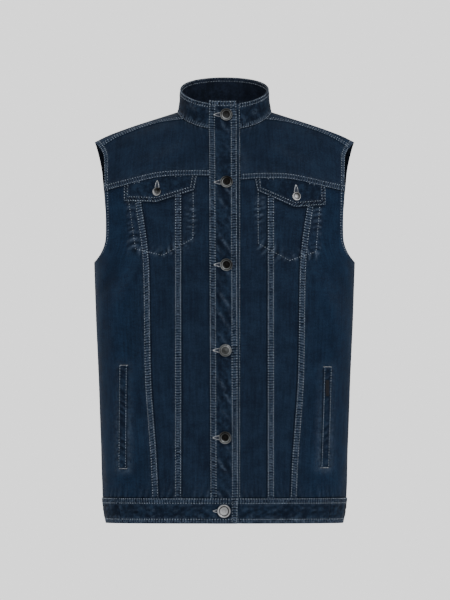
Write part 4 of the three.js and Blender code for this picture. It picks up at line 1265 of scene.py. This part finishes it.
def make_strips():
    def band_sewn(z):
        return 0.1 - OPENING["right"]

    def band_free(z):
        return OPENING["left"] - 0.1

    cloth = strip_cloth(band_sewn, band_free, BAND_TOP, BUTTON_BAND, (PLAIN, PLAIN), (3, 4))
    roll_edge(cloth, cloth.right)
    cloth.mark("wear", 0.6 * near(cloth.right, 4.5))
    make_cloth("button_band", cloth, "denim_worn")

    def placket_sewn(z):
        return PLACKET_EDGES.read("z", "sewn", z)

    def placket_free(z):
        return PLACKET_EDGES.read("z", "free", z)

    edges = (0, 0.6, 1.3, 2.4, 4, 6, 7.4, 8.5, 9.6, 11)
    cloth = strip_cloth(placket_sewn, placket_free, PLACKET_TOP, PLACKET, (edges, edges), (2, 2.4))
    s, t = cloth.left, cloth.top
    for distance, amount in ((s, 0.7), (cloth.right, 0.3), (t, 0.7)):
        roll_edge(cloth, distance, amount)
    sew_band(cloth, s, t, SEAM_LINES, 0.2, 0.82, 2.0)
    sew_band(cloth, cloth.right, t, (1.3, 8.5), 1.7, 0.82, 2.0)
    sew_band(cloth, t, s, (1.3, 7.6), 0.6, 1.0, 2.0)
    cloth.outer += 0.45 * near(cloth.right, 2.2)
    cloth.mark("wear", 1.5 * near(cloth.right - 0.4, 1.1))
    middle = smoothstep(s, 9, 13) * smoothstep(cloth.right, 8, 12)
    crease = 0.0
    for pitch, lean, phase, amount in ((27, 1.6, 0.3, 0.34), (17, 1.1, 2.0, 0.24), (41, 2.0, 4.0, 0.3)):
        wander = 1.2 * np.sin(t / 47 + phase) + 0.9 * np.sin(t / 23 + 2 * phase)
        crease = crease + amount * np.sin(2 * np.pi * (t - lean * s) / pitch + phase + wander)
    cloth.outer += crease * middle
    # Painted shade in the creases' troughs and painted highlight on their crests.
    cloth.mark("shade", np.clip(-crease - 0.1, 0, 1) * middle)
    cloth.mark("wear", 1.4 * np.clip(crease - 0.25, 0, 1) * middle + 0.02)
    cloth.marks["tint"][:] = 0.1
    make_cloth("placket", cloth)


def waist_place(start, end, step_out):
    def place(u, v):
        z = lerp(WAIST_TOP - HALF_GAP, WAIST_BOTTOM, v) + 0 * u
        turn = lerp(start, end, u) + 0 * v
        x = x_of(turn, z)
        return x, z, np.cos(np.radians(turn)) > 0, step_out(x)

    return place


def waist_form(x, z, front, out):
    base, normal = body_frame(x, z, front)
    return base + normal * out[..., None], normal


def make_waistband():
    free_end, under_end, joined = (
        float(turn_of(np.float64(x), np.float64(WAIST_TOP)))
        for x in (WAIST_FREE_END, WAIST_UNDER_END, WAIST_JOIN - HALF_GAP)
    )

    def over(x):
        return WAIST_OVER * (1 - np.clip((WAIST_UNDER_END - x) / WAIST_STEP, 0, 1))

    def under(x):
        return WAIST_UNDER * (1 - np.clip((x - WAIST_FREE_END) / WAIST_STEP, 0, 1))

    spans = {
        "right": (free_end, -joined, over),
        "left": (under_end, joined, under),
        "back": (joined + 0.04, 360 - joined - 0.04, np.zeros_like),
    }
    edges = ((0, 0.5, 1.1, 2.4, 4.4, 6.6, 8, 9.2), (0, 0.5, 1.1, 2.4, 4.4, 6.2, 7.4, 8.6))
    for i, (part, span) in enumerate(spans.items()):
        cloth = grid(waist_place(*span), waist_form, WAISTBAND, (PLAIN, PLAIN), edges, (2.6, 3))
        for distance in (cloth.left, cloth.right, cloth.top, cloth.bottom):
            roll_edge(cloth, distance, 0.6)
        phase = 1.3 + 2.1 * i
        sew_band(cloth, cloth.top, cloth.left, (1.1, 8), phase, 0.75, 2.0)
        sew_band(cloth, cloth.bottom, cloth.left, (7.2, 7.2), phase + 1, 0.95, 2.5)
        gather_waist(cloth)
        if part == "right":
            sew_band(cloth, cloth.left, cloth.top, (1.3, 8.6), 0.4, 1.0, 2.0)
            cloth.mark("wear", 2.2 * near(cloth.left - 1.0, 1.8))
        cloth.marks["tint"][:] = 0.25
        make_cloth(f"waistband_{part}", cloth)


def pointed_place(side, facing, piece, inner, outer):
    """Where a flap's or a bag's shares lie, from the yoke seam down to its pointed foot."""
    top = yoke_seam_level(side, -0.3)

    def foot(reach):
        (x0, z0), (x1, z1), (x2, z2) = corners_of(piece)
        to_tip = lerp(z0, z1, np.clip((reach - x0) / (x1 - x0), 0, 1))
        past = lerp(z1, z2, np.clip((reach - x1) / (x2 - x1), 0, 1))
        return np.where(reach < x1, to_tip, past)

    def place(u, v):
        reach = lerp(lerp(*inner, v), lerp(*outer, v), u)
        x = facing * reach
        return x, lerp(height_at(x, top(x), True), foot(reach), v), np.full(x.shape, True)

    return place


def make_flap(side, facing):
    flap = FLAPS[side]
    place = pointed_place(side, facing, flap, (flap.top, flap.inner), (flap.outer, flap.outer))
    edges = (0, 0.6, 1.3, 2.4, 4, 5.6, 6.9, 8.2)
    cloth = grid(place, body_frame, FLAP, (edges, edges), ((0, 1, 2.5, 4, 6), edges), (2.2, 2.2))
    tucked = 1 - smoothstep(cloth.top, 1.4, 6)
    cloth.inner -= 0.35 * tucked
    cloth.outer -= 1.75 * tucked
    nearest = np.minimum(np.minimum(cloth.left, cloth.right), cloth.bottom)
    roll_edge(cloth, nearest, 0.7)
    sew_band(cloth, nearest, cloth.left + cloth.top, FLAP_LINES, 0.8, 0.6, 2.5)
    dark_rungs(cloth, nearest, cloth.left + cloth.top, FLAP_LINES, 6.2, 1.6)
    cloth.mark("wear", 0.8 * near(nearest - 0.5, 1.2))
    bow = np.sin(np.pi * np.clip(cloth.left / cloth.left[:, -1:], 0, 1)) * (1 - tucked)
    cloth.base += cloth.normal * (0.9 * bow)[..., None]
    cloth.marks["tint"][:] = 0.1
    make_cloth(f"chest_flap_{side}", cloth)


def upright_place(facing, top, bottom, inner, outer):
    """Where an upright strip's shares lie, its inner and outer edge each given at the top and the bottom."""

    def place(u, v):
        x = facing * lerp(lerp(*inner, v), lerp(*outer, v), u)
        return x, lerp(top, bottom, v) + 0 * u, np.full(x.shape, True)

    return place


def oblong_place(facing, inner, outer, top, bottom):
    return upright_place(facing, top, bottom, (inner, inner), (outer, outer))


def make_bags(side, facing):
    bag = CHEST_BAGS[side]
    places = {
        "chest": pointed_place(side, facing, bag, (bag.inner, bag.inner), (bag.top, bag.outer)),
        "hand": oblong_place(facing, *HAND_BAG),
    }
    for kind, place in places.items():
        cloth = grid(place, body_frame, POCKET_BAG, (PLAIN, PLAIN), (PLAIN, PLAIN), (5, 5))
        make_cloth(f"{kind}_bag_{side}", cloth, "pocketing")


def nearest_edge(cloth):
    return np.minimum(np.minimum(cloth.left, cloth.right), np.minimum(cloth.top, cloth.bottom))


def make_welt(side, facing):
    welt = WELTS[side]
    inner, outer = ((welt.x_top + half, welt.x_bottom + half) for half in (-welt.half, welt.half))
    place = upright_place(facing, welt.top, welt.bottom, inner, outer)
    edges = (0, 0.5, 1.2, 2.2, 3.5)
    cloth = grid(place, body_frame, WELT, (edges, edges), (edges, edges), (1.4, 2.4))
    nearest = nearest_edge(cloth)
    inside = smoothstep(nearest, 1, 3)
    roll_edge(cloth, nearest, 0.8)
    wave = puckers(cloth.top + 0.5 * cloth.left, 3.3 + facing)
    cloth.outer += 0.45 * wave * inside - 0.3 * near(nearest - 1.2, 0.7)
    # Painted shade in the gathers' troughs; the rim rubbed pale, and the ridges partly rubbed pale, partly
    # painted highlight.
    cloth.mark("shade", np.clip(-wave, 0, 1) * inside * 0.7)
    cloth.mark("wear", 0.4 * near(nearest - 0.5, 0.8) + 0.45 * np.clip(wave, 0, 1))
    cloth.marks["tint"][:] = 0.6
    make_cloth(f"hand_welt_{side}", cloth)


def make_tab():
    edges = (0, 0.3, 0.8)
    cloth = grid(oblong_place(1, *BLANK_TAB), body_frame, TAB, (edges, edges), (edges, edges), (1, 1.5))
    cloth.outer -= 0.25 * np.clip(1 - nearest_edge(cloth) / 0.8, 0, 1) ** 2
    cloth.outer += 0.12 * np.sin(cloth.top / 4)
    sewing.setdefault("hand_welt_left", []).append(make_cloth("blank_tab", cloth, "tab"))


def front_frame(x, z):
    """Points of the front, on the body below the neck seam and on the collar above it."""
    x, z = np.asarray(x, float), np.asarray(z, float)
    angle = np.arcsin(np.clip(x / NECK_HALF, -1, 1))
    seam, top = collar_base(angle, 0.0)[..., 2], collar_base(angle, 1.0)[..., 2]
    on_body, body_way = body_frame(x, z, np.full(x.shape, True))
    on_collar, collar_way = collar_frame(angle, (z - seam) / (top - seam))
    on_collar = on_collar + collar_way * PLACKET_SHIFT
    below = (z < seam)[..., None]
    return np.where(below, on_body, on_collar), np.where(below, body_way, collar_way)


def surface_of(*names):
    """A tree of the faces of some pieces, to lay thread on."""
    points, faces = [], []
    for name in names:
        mesh = bpy.data.objects[name + "_cloth"].data
        count = len(points)
        held = np.empty(len(mesh.vertices) * 3, np.float32)
        mesh.vertices.foreach_get("co", held)
        points.extend(map(tuple, (held.reshape(-1, 3) / MM).tolist()))
        faces.extend([tuple(i + count for i in face.vertices) for face in mesh.polygons])
    return BVHTree.FromPolygons(points, faces)


def lay(tree, points, normals, above=12.0):
    """Moves points along the way out until they lie on a surface."""
    laid = points.copy()
    for i, (point, way) in enumerate(zip(points, normals)):
        hit = tree.ray_cast(Vector(point + way * above), Vector(-way), 2 * above)[0]
        if hit is not None:
            laid[i] = hit
    return laid


def resample(line, step):
    line = np.asarray(line, float)
    distance = run(line, 0)
    return read_line(line, distance, np.linspace(0, distance[-1], max(int(distance[-1] / step), 2) + 1))


def sew(name, owner, lines):
    """One mesh of stitches on a piece: for each line its edge, its distance from it and its margins."""
    sewn = Sewing()
    for edge, *where in lines:
        sewn.beside(cloths[owner], edge, *where)
    sewn.make(name, "thread", owner)


def sew_side(side, facing):
    """The stitches of one front."""
    side_piece = f"front_side_{side}"
    sewn = Sewing()
    for piece in (f"front_pocket_{side}", side_piece):
        for offset in SEAM_LINES:
            sewn.beside(cloths[piece], "left", offset, 2.0, 0.8)
    armhole_end = cloths[side_piece].top[-1, -1] - 112
    sewn.beside(cloths[side_piece], "right", HEM_LINES[0], 1.0, armhole_end)
    sewn.make(f"seams_{side}", "thread", side_piece)

    line = resample(bag_outline(side), 2.0)
    base, way = front_frame(facing * line[:, 0], line[:, 1])
    pieces = surface_of(*(f"front_{piece}_{side}" for piece in ("centre", "pocket", "side")))
    sewn = Sewing()
    sewn.line(lay(pieces, base, way, 6.0), way)
    sewn.make(f"bag_stitches_{side}", "thread", f"front_pocket_{side}")

    lines = [("bottom", offset, 4, 1.0) for offset in YOKE_LINES]
    lines += [("right", offset, 1.5, 1.5) for offset in (1.6, HEM_LINES[0])]
    sew(f"yoke_stitches_{side}", f"front_yoke_{side}", lines)
    lines = []
    for offset in FLAP_LINES:
        lines += [(edge, offset, 2.2, offset) for edge in ("left", "right")]
        lines.append(("bottom", offset, offset, offset))
    sew(f"flap_stitches_{side}", f"chest_flap_{side}", lines)
    sew(f"welt_stitches_{side}", f"hand_welt_{side}", [("left", 1.2), ("right", 1.2)])


def sew_back():
    """The back's stitches, without those that would cross the neck."""
    sewn = Sewing()
    for offset in SHOULDER_LINES:
        sewn.beside(cloths["back"], "top", offset, 1.5, 1.5)
    for i, (start, end, way) in enumerate(zip(sewn.starts, sewn.ends, sewn.normals)):
        clear = ~(in_neck(start) | in_neck(end))
        sewn.starts[i], sewn.ends[i], sewn.normals[i] = start[clear], end[clear], way[clear]
    for edge in ("left", "right"):
        sewn.beside(cloths["back"], edge, HEM_LINES[0], 1.5, 376)
    sewn.make("back_stitches", "thread", "back")


def sew_all():
    for side, facing in SIDES:
        sew_side(side, facing)
    sew_back()
    lines = [("top", offset, 0.0, 0.0, inside) for offset in COLLAR_LINES for inside in (False, True)]
    sew("collar_stitches", "collar", lines + [("bottom", 1.6)])
    sew("band_stitches", "button_band", [("right", 1.0, 2.0)])
    lines = [("left", 1.3, 1.3), ("left", 9.4, 1.3), ("right", 0.8, 1.3), ("right", 8.5, 1.3)]
    sew("placket_stitches", "placket", lines + [("top", 1.4, 1.3, 1.3), ("top", 7.6, 1.3, 1.3)])
    lines = [(edge, offset, 0.8, 0.8) for edge, offset in (("top", 1.1), ("top", 8), ("bottom", 7.2))]
    free_end = [("left", offset, 0.8, 0.8) for offset in (1.3, 8.6)]
    for part, more in (("right", free_end), ("left", []), ("back", [])):
        sew(f"waistband_{part}_stitches", f"waistband_{part}", lines + more)


# Buttonholes: the button's place, the way to the hole's pointed end, its length and half its width
HOLES = {
    "placket": [(where, (-1, 0), 19.4, 2.8) for where in PLACKET_BUTTONS],
    "waistband_right": [(WAIST_BUTTON, (-1, 0), 17.2, 2.1)],
    "chest_flap_right": [(FLAP_BUTTONS["right"], (0.03, 1), 17.6, 2.6)],
    "chest_flap_left": [(FLAP_BUTTONS["left"], (-0.03, 1), 17.6, 2.6)],
}
# How far the dark slit lies over the cloth
SLIT_LIFT = 0.12


def work_holes():
    t = np.linspace(0, 1, 41)
    size = len(t)
    i = np.arange(size - 1)
    between = np.stack([i, i + 1, i + 1 + size, i + size], -1)
    for name, holes in HOLES.items():
        tree = surface_of(name)
        sewn = Sewing()
        points = []
        for (x, z), (dx, dz), reach, half in holes:
            away = reach * (1 - 1.3 * t)
            wide = 0.4 + half * np.sin(np.pi * np.minimum(t, 0.9)) ** 0.9
            rims = []
            for facing in (1, -1):
                base, way = front_frame(x + dx * away - dz * wide * facing, z + dz * away + dx * wide * facing)
                rims.append((lay(tree, base, way), way))
                sewn.across(*rims[-1], 1.1, 0.5)
            points.extend(laid + rims[0][1] * SLIT_LIFT for laid, _ in rims)
            tip = np.array([(x + dx * far, z + dz * far) for far in (reach + 0.3, reach - 2)])
            base, way = front_frame(tip[:, 0], tip[:, 1])
            sewn.across(lay(tree, base, way), way, 2.2, 0.45)
        sewn.make(f"{name}_holes", "pale_thread", name, 0.5)
        quads = np.concatenate([between + 2 * size * hole for hole in range(len(holes))])
        slits = link(f"{name}_slits", np.concatenate(points), quads, NO_TRIANGLES, "pocketing")
        sewing.setdefault(name, []).append(slits)


def bar(name, owner, x, z):
    """A close-wound bar of thread that ends a pocket's mouth."""
    line = resample([(-6.2, 0), (6.2, 0)], 0.8) + (x, z)
    base, way = front_frame(line[:, 0], line[:, 1])
    sewn = Sewing()
    sewn.across(lay(surface_of(owner), base, way), way, 1.5, 0.42)
    sewn.make(name, "pale_thread", owner, 0.45)


# For each front button: the side of its rim that is painted dark as a painted reflection, in degrees from its
# right round over the top, how strong its painted reflection is, and how dark its middle is
BUTTON_GLEAM = ((100, 0.8, 0.93), (118, 1.0, 1.0), (140, 0.85, 1.0), (320, 0.6, 0.75), (95, 0.9, 1.0))
USUAL_GLEAM = 128

# Outlines of the button heads: distance from the axis and height, as shares, and how dark the plate is there:
# its own dark middle, and painted shade and reflection on the bevels and the groove
RING_HEAD = (
    *((0.3, 0, 1), (0.86, 0.04, 1), (0.95, 0.18, 1), (1.0, 0.45, 1), (0.99, 0.7, 0.9), (0.95, 0.92, 0.4)),
    *((0.91, 1.0, 0), (0.88, 0.97, 0.4), (0.85, 0.88, 1), (0.75, 0.82, 1), (0.71, 0.9, 0.3), (0.66, 0.92, 0)),
    *((0.62, 0.84, 0.5), (0.58, 0.62, 1), (0.5, 0.45, 1), (0.3, 0.4, 1), (0.16, 0.42, 1), (0.1, 0.5, 1)),
    (0.0, 0.55, 1),
)
DISC_HEAD = (
    *((0.3, 0, 1), (0.86, 0.04, 1), (0.96, 0.2, 1), (1.0, 0.5, 0.8), (0.98, 0.78, 0.3), (0.92, 0.96, 0)),
    *((0.84, 1.0, 0), (0.78, 0.93, 0.4), (0.72, 0.74, 1), (0.66, 0.7, 1), (0.6, 0.76, 0.4)),
    *((0.52, 0.86, 0.15), (0.34, 0.93, 0.05), (0.3, 0.93, 0.3), (0.0, 0.96, 0.2)),
)
BUTTON_SIDES = 56
POST_RADIUS = 2.6
INNER_RING = 0.66


def make_button(name, where, size, heights, outline, finish, gleam=USUAL_GLEAM, painted_reflection_strength=1.0):
    """A dished button on a post, which goes down through the upper cloth to the cloth below."""
    (radius, height), (outer, below) = size, heights
    base, way = front_frame(np.array([where[0]]), np.array([where[1]]))
    way = way[0]
    centre = base[0] + way * (outer + BUTTON_FLOAT)
    foot = below + 0.3 - outer - BUTTON_FLOAT
    post = [(POST_RADIUS - 0.3, foot, 0), (POST_RADIUS, foot + 0.3, 0), (POST_RADIUS, -0.1, 0)]
    head = [(out * radius, up * height, hollow) for out, up, hollow in outline]
    rings = np.array(post + head[:-1], float)
    ring = np.arange(BUTTON_SIDES)
    turn = 2 * np.pi * ring / BUTTON_SIDES
    aside = unit(np.cross(way, (0, 0, 1.0)))
    up = np.cross(aside, way)
    outward_at = np.cos(turn)[:, None] * aside + np.sin(turn)[:, None] * up
    points = centre + rings[:, None, 0:1] * outward_at + rings[:, None, 1:2] * way
    points = np.concatenate([points.reshape(-1, 3), [centre + foot * way, centre + head[-1][1] * way]])
    after = (ring + 1) % BUTTON_SIDES
    last = (len(rings) - 1) * BUTTON_SIDES
    foot_cap = np.stack([np.full(BUTTON_SIDES, len(points) - 2), ring, after], -1)
    top_cap = np.stack([np.full(BUTTON_SIDES, len(points) - 1), last + after, last + ring], -1)
    quads = ring_quads(len(rings), BUTTON_SIDES)[:, ::-1]
    made = link(name + "_metal", points, quads, np.concatenate([foot_cap, top_cap]), finish)
    # Painted reflection: the rim is left bright where it looks down to the side and painted dark across from
    # there, and a painted glint lights the inner ring on the bright side.
    away = (0.5 + 0.5 * np.cos(turn - math.radians(gleam)))[None, :] ** 0.9
    hollow = rings[:, 2:3] + (1 - rings[:, 2:3]) * painted_reflection_strength * away
    glint = np.clip(np.cos(turn - math.radians(gleam + 195)), 0, 1)[None, :] ** 4
    hollow = hollow * (1 - 0.8 * painted_reflection_strength * glint * near(rings[:, 0:1] / radius - INNER_RING, 0.1))
    keep_mark(made.data, "hollow", np.concatenate([hollow.ravel(), [1, head[-1][2]]]))
    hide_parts(name)


def length_of(name, description, default):
    return FloatProperty(name=name, description=description, default=default, unit="LENGTH")


def share_of(name, description, default):
    return FloatProperty(name=name, description=description, default=default)


def power_of(name, description, default):
    return FloatProperty(name=name, description=description, default=default, unit="POWER")


def colour_of(name, description, *default):
    return FloatVectorProperty(name=name, description=description, subtype="COLOR", size=3, default=default)


class VestCloth(bpy.types.PropertyGroup):
    """The cloth's sizes and colours"""

    spacing: length_of("Spacing", "Distance between the points of the cloth", 0.0034)
    crease_strength: share_of("Creases", "Share of the creases' full depth", 1.0)
    twill_pitch: length_of("Twill", "Distance between the twill's ribs", 0.0011)
    bump: share_of("Relief", "Strength of the weave's fine relief", 0.35)
    rung_pitch: length_of("Rungs", "Distance between the pale rungs along a seam", 0.0043)
    # The greener and bluer colours are mixed by each piece's tone; the bluer ones also paint light towards the
    # body's sides.
    indigo_green: colour_of("Indigo, greener", "Darkest cloth of the yokes and middle", 0.0020, 0.0043, 0.0101)
    indigo_blue: colour_of("Indigo, bluer", "Darkest cloth of the sides", 0.0016, 0.0047, 0.0122)
    faded_green: colour_of(
        "Faded, greener", "Palest plain cloth of the yokes and middle", 0.0066, 0.0136, 0.0265
    )
    faded_blue: colour_of("Faded, bluer", "Palest plain cloth of the sides", 0.0056, 0.0150, 0.0325)
    # The worn colour also serves for painted highlights on ridges.
    worn: colour_of("Worn", "Rubbed cloth along the seams", 0.038, 0.050, 0.071)
    inside: colour_of("Inside", "Wrong side of the cloth", 0.0034, 0.0052, 0.0100)


class VestSewing(bpy.types.PropertyGroup):
    """The stitches' sizes and colours"""

    stitch_length: length_of("Stitch", "Distance from one stitch to the next", 0.0042)
    thread_width: length_of("Thread", "Width of the thread", 0.00082)
    pucker_pitch: length_of("Pucker pitch", "Distance between gathers along a seam", 0.0102)
    pucker_height: length_of("Pucker height", "Height of the gathers", 0.0004)
    thread: colour_of("Thread colour", "Thread of the seams", 0.22, 0.255, 0.295)
    pale_thread: colour_of("Buttonhole colour", "Thread of the buttonholes and bars", 0.29, 0.30, 0.315)


class VestTrim(bpy.types.PropertyGroup):
    """The colours of the pocketing, the tab and the metal"""

    pocketing: colour_of("Pocketing", "Cotton of the pocket bags", 0.012, 0.015, 0.022)
    tab: colour_of("Tab", "Blank woven tab", 0.0042, 0.0046, 0.0064)
    gunmetal: colour_of("Gunmetal", "Rings of the front buttons", 0.165, 0.173, 0.176)
    # The dark colour of the buttons' own middles, also used for painted shade and painted reflections on their
    # rims.
    hollow: colour_of("Hollow", "Dished middles of the front buttons", 0.0022, 0.002, 0.0018)
    steel: colour_of("Steel", "Waist and flap buttons", 0.26, 0.263, 0.27)
    shine: share_of("Roughness", "Roughness of the metal", 0.17)


class VestStage(bpy.types.PropertyGroup):
    """The floor, the light and the camera"""

    floor: colour_of("Floor", "Colour of the floor", 0.9, 0.9, 0.9)
    drop: length_of("Floor drop", "How far the floor lies below the origin", 0.98)
    sky: share_of("Backdrop", "Strength of the even light all round", 1.6)
    key: power_of("Key", "Power of the light before the vest", 105.0)
    rim: power_of("Rims", "Power of the lights beside and behind", 4.0)
    distance: length_of("Distance", "Camera's distance from the vest", 24.0)
    frame: length_of("Frame", "Height that the picture takes in", 0.96)
    plane: length_of("Plane", "How far before the middle that height is", 0.02)
    aim_x: length_of("Aim across", "Where the picture's middle lies across", 0.0008)
    aim_z: length_of("Aim up", "Where the picture's middle lies in height", -0.3)


materials = {}


def material(name):
    """A finish of the vest, made when it is first asked for."""
    scene = bpy.context.scene
    makers = {
        "denim": lambda: denim(name),
        "denim_worn": lambda: denim(name, 0.86, 1.0),
        "pocketing": lambda: plain_cotton(name, scene.vest_trim.pocketing),
        "tab": lambda: plain_cotton(name, scene.vest_trim.tab),
        "thread": lambda: yarn(name, scene.vest_sewing.thread),
        "pale_thread": lambda: yarn(name, scene.vest_sewing.pale_thread),
        "gunmetal": lambda: metal(name, scene.vest_trim.gunmetal),
        "steel": lambda: metal(name, scene.vest_trim.steel),
    }
    if name not in materials:
        materials[name] = makers[name]()
    return materials[name]


class VEST_OT_fronts(bpy.types.Operator):
    """Make the yokes and the three pieces of each front"""

    bl_idname = "vest.fronts"
    bl_label = "Fronts and yokes"

    def execute(self, context):
        for side, facing in SIDES:
            make_yoke(side, facing)
            make_fronts(side, facing)
        return {"FINISHED"}


class VEST_OT_back(bpy.types.Operator):
    """Make the back, which wraps over the shoulders, and the edges inside its side seams"""

    bl_idname = "vest.back"
    bl_label = "Back"

    def execute(self, context):
        make_back()
        for side, facing in SIDES:
            make_allowance(side, facing)
        return {"FINISHED"}


class VEST_OT_collar(bpy.types.Operator):
    """Make the stand collar"""

    bl_idname = "vest.collar"
    bl_label = "Collar"

    def execute(self, context):
        make_collar()
        return {"FINISHED"}


class VEST_OT_strips(bpy.types.Operator):
    """Make the button band and the placket over it"""

    bl_idname = "vest.strips"
    bl_label = "Button band and placket"

    def execute(self, context):
        make_strips()
        return {"FINISHED"}


class VEST_OT_waistband(bpy.types.Operator):
    """Make the waistband in its three lengths"""

    bl_idname = "vest.waistband"
    bl_label = "Waistband"

    def execute(self, context):
        make_waistband()
        return {"FINISHED"}


class VEST_OT_pockets(bpy.types.Operator):
    """Make the chest flaps, the pocket bags, the hand welts and the blank tab"""

    bl_idname = "vest.pockets"
    bl_label = "Pockets"

    def execute(self, context):
        for side, facing in SIDES:
            make_flap(side, facing)
            make_bags(side, facing)
            make_welt(side, facing)
        make_tab()
        return {"FINISHED"}


class VEST_OT_stitching(bpy.types.Operator):
    """Sew every seam with lines of stitches"""

    bl_idname = "vest.stitching"
    bl_label = "Stitching"

    def execute(self, context):
        sew_all()
        for side, facing in SIDES:
            welt = WELTS[side]
            for end, x, z in (("top", welt.x_top, welt.top), ("bottom", welt.x_bottom, welt.bottom)):
                bar(f"bar_{end}_{side}", f"hand_welt_{side}", facing * x, z)
        return {"FINISHED"}


class VEST_OT_buttonholes(bpy.types.Operator):
    """Work the buttonholes in pale thread"""

    bl_idname = "vest.buttonholes"
    bl_label = "Buttonholes"

    def execute(self, context):
        work_holes()
        return {"FINISHED"}


class VEST_OT_buttons(bpy.types.Operator):
    """Set the metal buttons"""

    bl_idname = "vest.buttons"
    bl_label = "Buttons"

    def execute(self, context):
        heights = PLACKET[1], BUTTON_BAND[1]
        for i, (where, (gleam, painted_reflection_strength, core)) in enumerate(zip(PLACKET_BUTTONS, BUTTON_GLEAM)):
            outline = [(out, up, hollow * core) for out, up, hollow in RING_HEAD]
            make_button(f"button_{i + 1}", where, (10, 3.4), heights, outline, "gunmetal", gleam, painted_reflection_strength)
        heights = WAISTBAND[1] + WAIST_OVER, WAISTBAND[1] + WAIST_UNDER
        make_button("button_waist", WAIST_BUTTON, (10.7, 3.4), heights, DISC_HEAD, "steel", painted_reflection_strength=0.35)
        heights = FLAP[1], PANEL[1]
        for side, core, painted_reflection_strength in (("right", 0.85, 1.0), ("left", 0.51, 0.7)):
            outline = [(out, up, max(hollow, core) if out < 0.6 else hollow) for out, up, hollow in DISC_HEAD]
            name, where = f"button_flap_{side}", FLAP_BUTTONS[side]
            make_button(name, where, (7, 2.8), heights, outline, "steel", painted_reflection_strength=painted_reflection_strength)
        return {"FINISHED"}


class VEST_OT_cuts(bpy.types.Operator):
    """Work out the width, length and flat area of every piece of cloth, keeping none of them"""

    bl_idname = "vest.cuts"
    bl_label = "Cuts"

    def execute(self, context):
        for side, _ in SIDES:
            yoke, front = f"front_yoke_{side}", f"front_side_{side}"
            declare(yoke)
            for piece in ("front_centre", "front_pocket", "front_side", "chest_flap", "chest_bag"):
                declare(f"{piece}_{side}")
            declare(f"hand_welt_{side}")
            declare(f"hand_bag_{side}")
            declare(f"waistband_{side}")
        declare("waistband_back")
        declare("back")
        for side, _ in SIDES:
            declare(f"side_allowance_{side}")
        declare("collar")
        declare("button_band")
        declare("placket")
        return {"FINISHED"}


class VEST_OT_stage(bpy.types.Operator):
    """Set the floor, the lights and the camera"""

    bl_idname = "vest.stage"
    bl_label = "Stage"

    def execute(self, context):
        scene = context.scene
        sizes = scene.vest_stage
        bpy.ops.mesh.primitive_plane_add(size=14, location=(0, 0, -sizes.drop))
        floor = context.object
        floor.name = "floor"
        s = Shader("floor")
        grain = s.noise(s.place(), 3.0, 3.0, 0.5)
        mixed = s.mix(grain, rgba(sizes.floor), rgba(sizes.floor, 0.985))
        floor.data.materials.append(s.finish(mixed, (grain - 0.5) * 0.05 + 0.9))

        world = bpy.data.worlds.new("even_light")
        world.use_nodes = True
        light = world.node_tree.nodes["Background"].inputs
        light[0].default_value = (1, 1, 1, 1)
        light[1].default_value = sizes.sky
        scene.world = world

        middle = Vector((0, 0, -0.3))
        for name, place, energy, width in (
            ("key", (1.5, -3.2, 1.7), sizes.key, 1.6),
            ("fill", (-2.2, -2.9, 0.3), sizes.key * 0.2, 2.6),
            ("rim_right", (-3.0, 0.3, 0.8), sizes.rim, 1.8),
            ("rim_left", (3.0, 0.3, 0.8), sizes.rim, 1.8),
            ("rear", (-2.2, 2.7, 1.5), sizes.key * 0.75, 1.6),
        ):
            lamp = bpy.data.lights.new(name, "AREA")
            lamp.energy, lamp.size = energy, width
            held = bpy.data.objects.new(name, lamp)
            held.location = place
            held.rotation_euler = (middle - Vector(place)).to_track_quat("-Z", "Y").to_euler()
            scene.collection.objects.link(held)

        lens = bpy.data.cameras.new("camera")
        lens.sensor_fit = "VERTICAL"
        lens.sensor_height = 36
        lens.lens = lens.sensor_height * (sizes.distance - sizes.plane) / sizes.frame
        lens.clip_end = 60
        camera = bpy.data.objects.new("camera", lens)
        camera.location = (sizes.aim_x, -sizes.distance, sizes.aim_z)
        camera.rotation_euler = (math.pi / 2, 0, 0)
        scene.collection.objects.link(camera)
        scene.camera = camera
        return {"FINISHED"}


class VEST_PT_sidebar(bpy.types.Panel):
    """The vest's pieces and sizes"""

    bl_idname = "VEST_PT_sidebar"
    bl_label = "Denim vest"
    bl_space_type = "VIEW_3D"
    bl_region_type = "UI"
    bl_category = "Vest"

    def draw(self, context):
        for group in (VestCloth, VestSewing, VestTrim, VestStage):
            held = getattr(context.scene, GROUPS[group])
            for prop in group.__annotations__:
                self.layout.prop(held, prop)
        for operator in OPERATORS:
            self.layout.operator(operator.bl_idname)


GROUPS = {VestCloth: "vest_cloth", VestSewing: "vest_sewing", VestTrim: "vest_trim", VestStage: "vest_stage"}
OPERATORS = (
    VEST_OT_fronts,
    VEST_OT_back,
    VEST_OT_collar,
    VEST_OT_strips,
    VEST_OT_waistband,
    VEST_OT_pockets,
    VEST_OT_stitching,
    VEST_OT_buttonholes,
    VEST_OT_buttons,
    VEST_OT_cuts,
    VEST_OT_stage,
)


def register():
    for group, name in GROUPS.items():
        bpy.utils.register_class(group)
        setattr(bpy.types.Scene, name, PointerProperty(type=group))
    for kind in (*OPERATORS, VEST_PT_sidebar):
        bpy.utils.register_class(kind)


def unregister():
    for kind in (VEST_PT_sidebar, *reversed(OPERATORS)):
        bpy.utils.unregister_class(kind)
    for group, name in GROUPS.items():
        delattr(bpy.types.Scene, name)
        bpy.utils.unregister_class(group)


def main():
    register()
    bpy.ops.vest.fronts()
    bpy.ops.vest.back()
    bpy.ops.vest.collar()
    bpy.ops.vest.strips()
    bpy.ops.vest.waistband()
    bpy.ops.vest.pockets()
    bpy.ops.vest.stitching()
    bpy.ops.vest.buttonholes()
    bpy.ops.vest.buttons()
    bpy.ops.vest.cuts()
    bpy.ops.vest.stage()


if __name__ == "__main__":
    main()
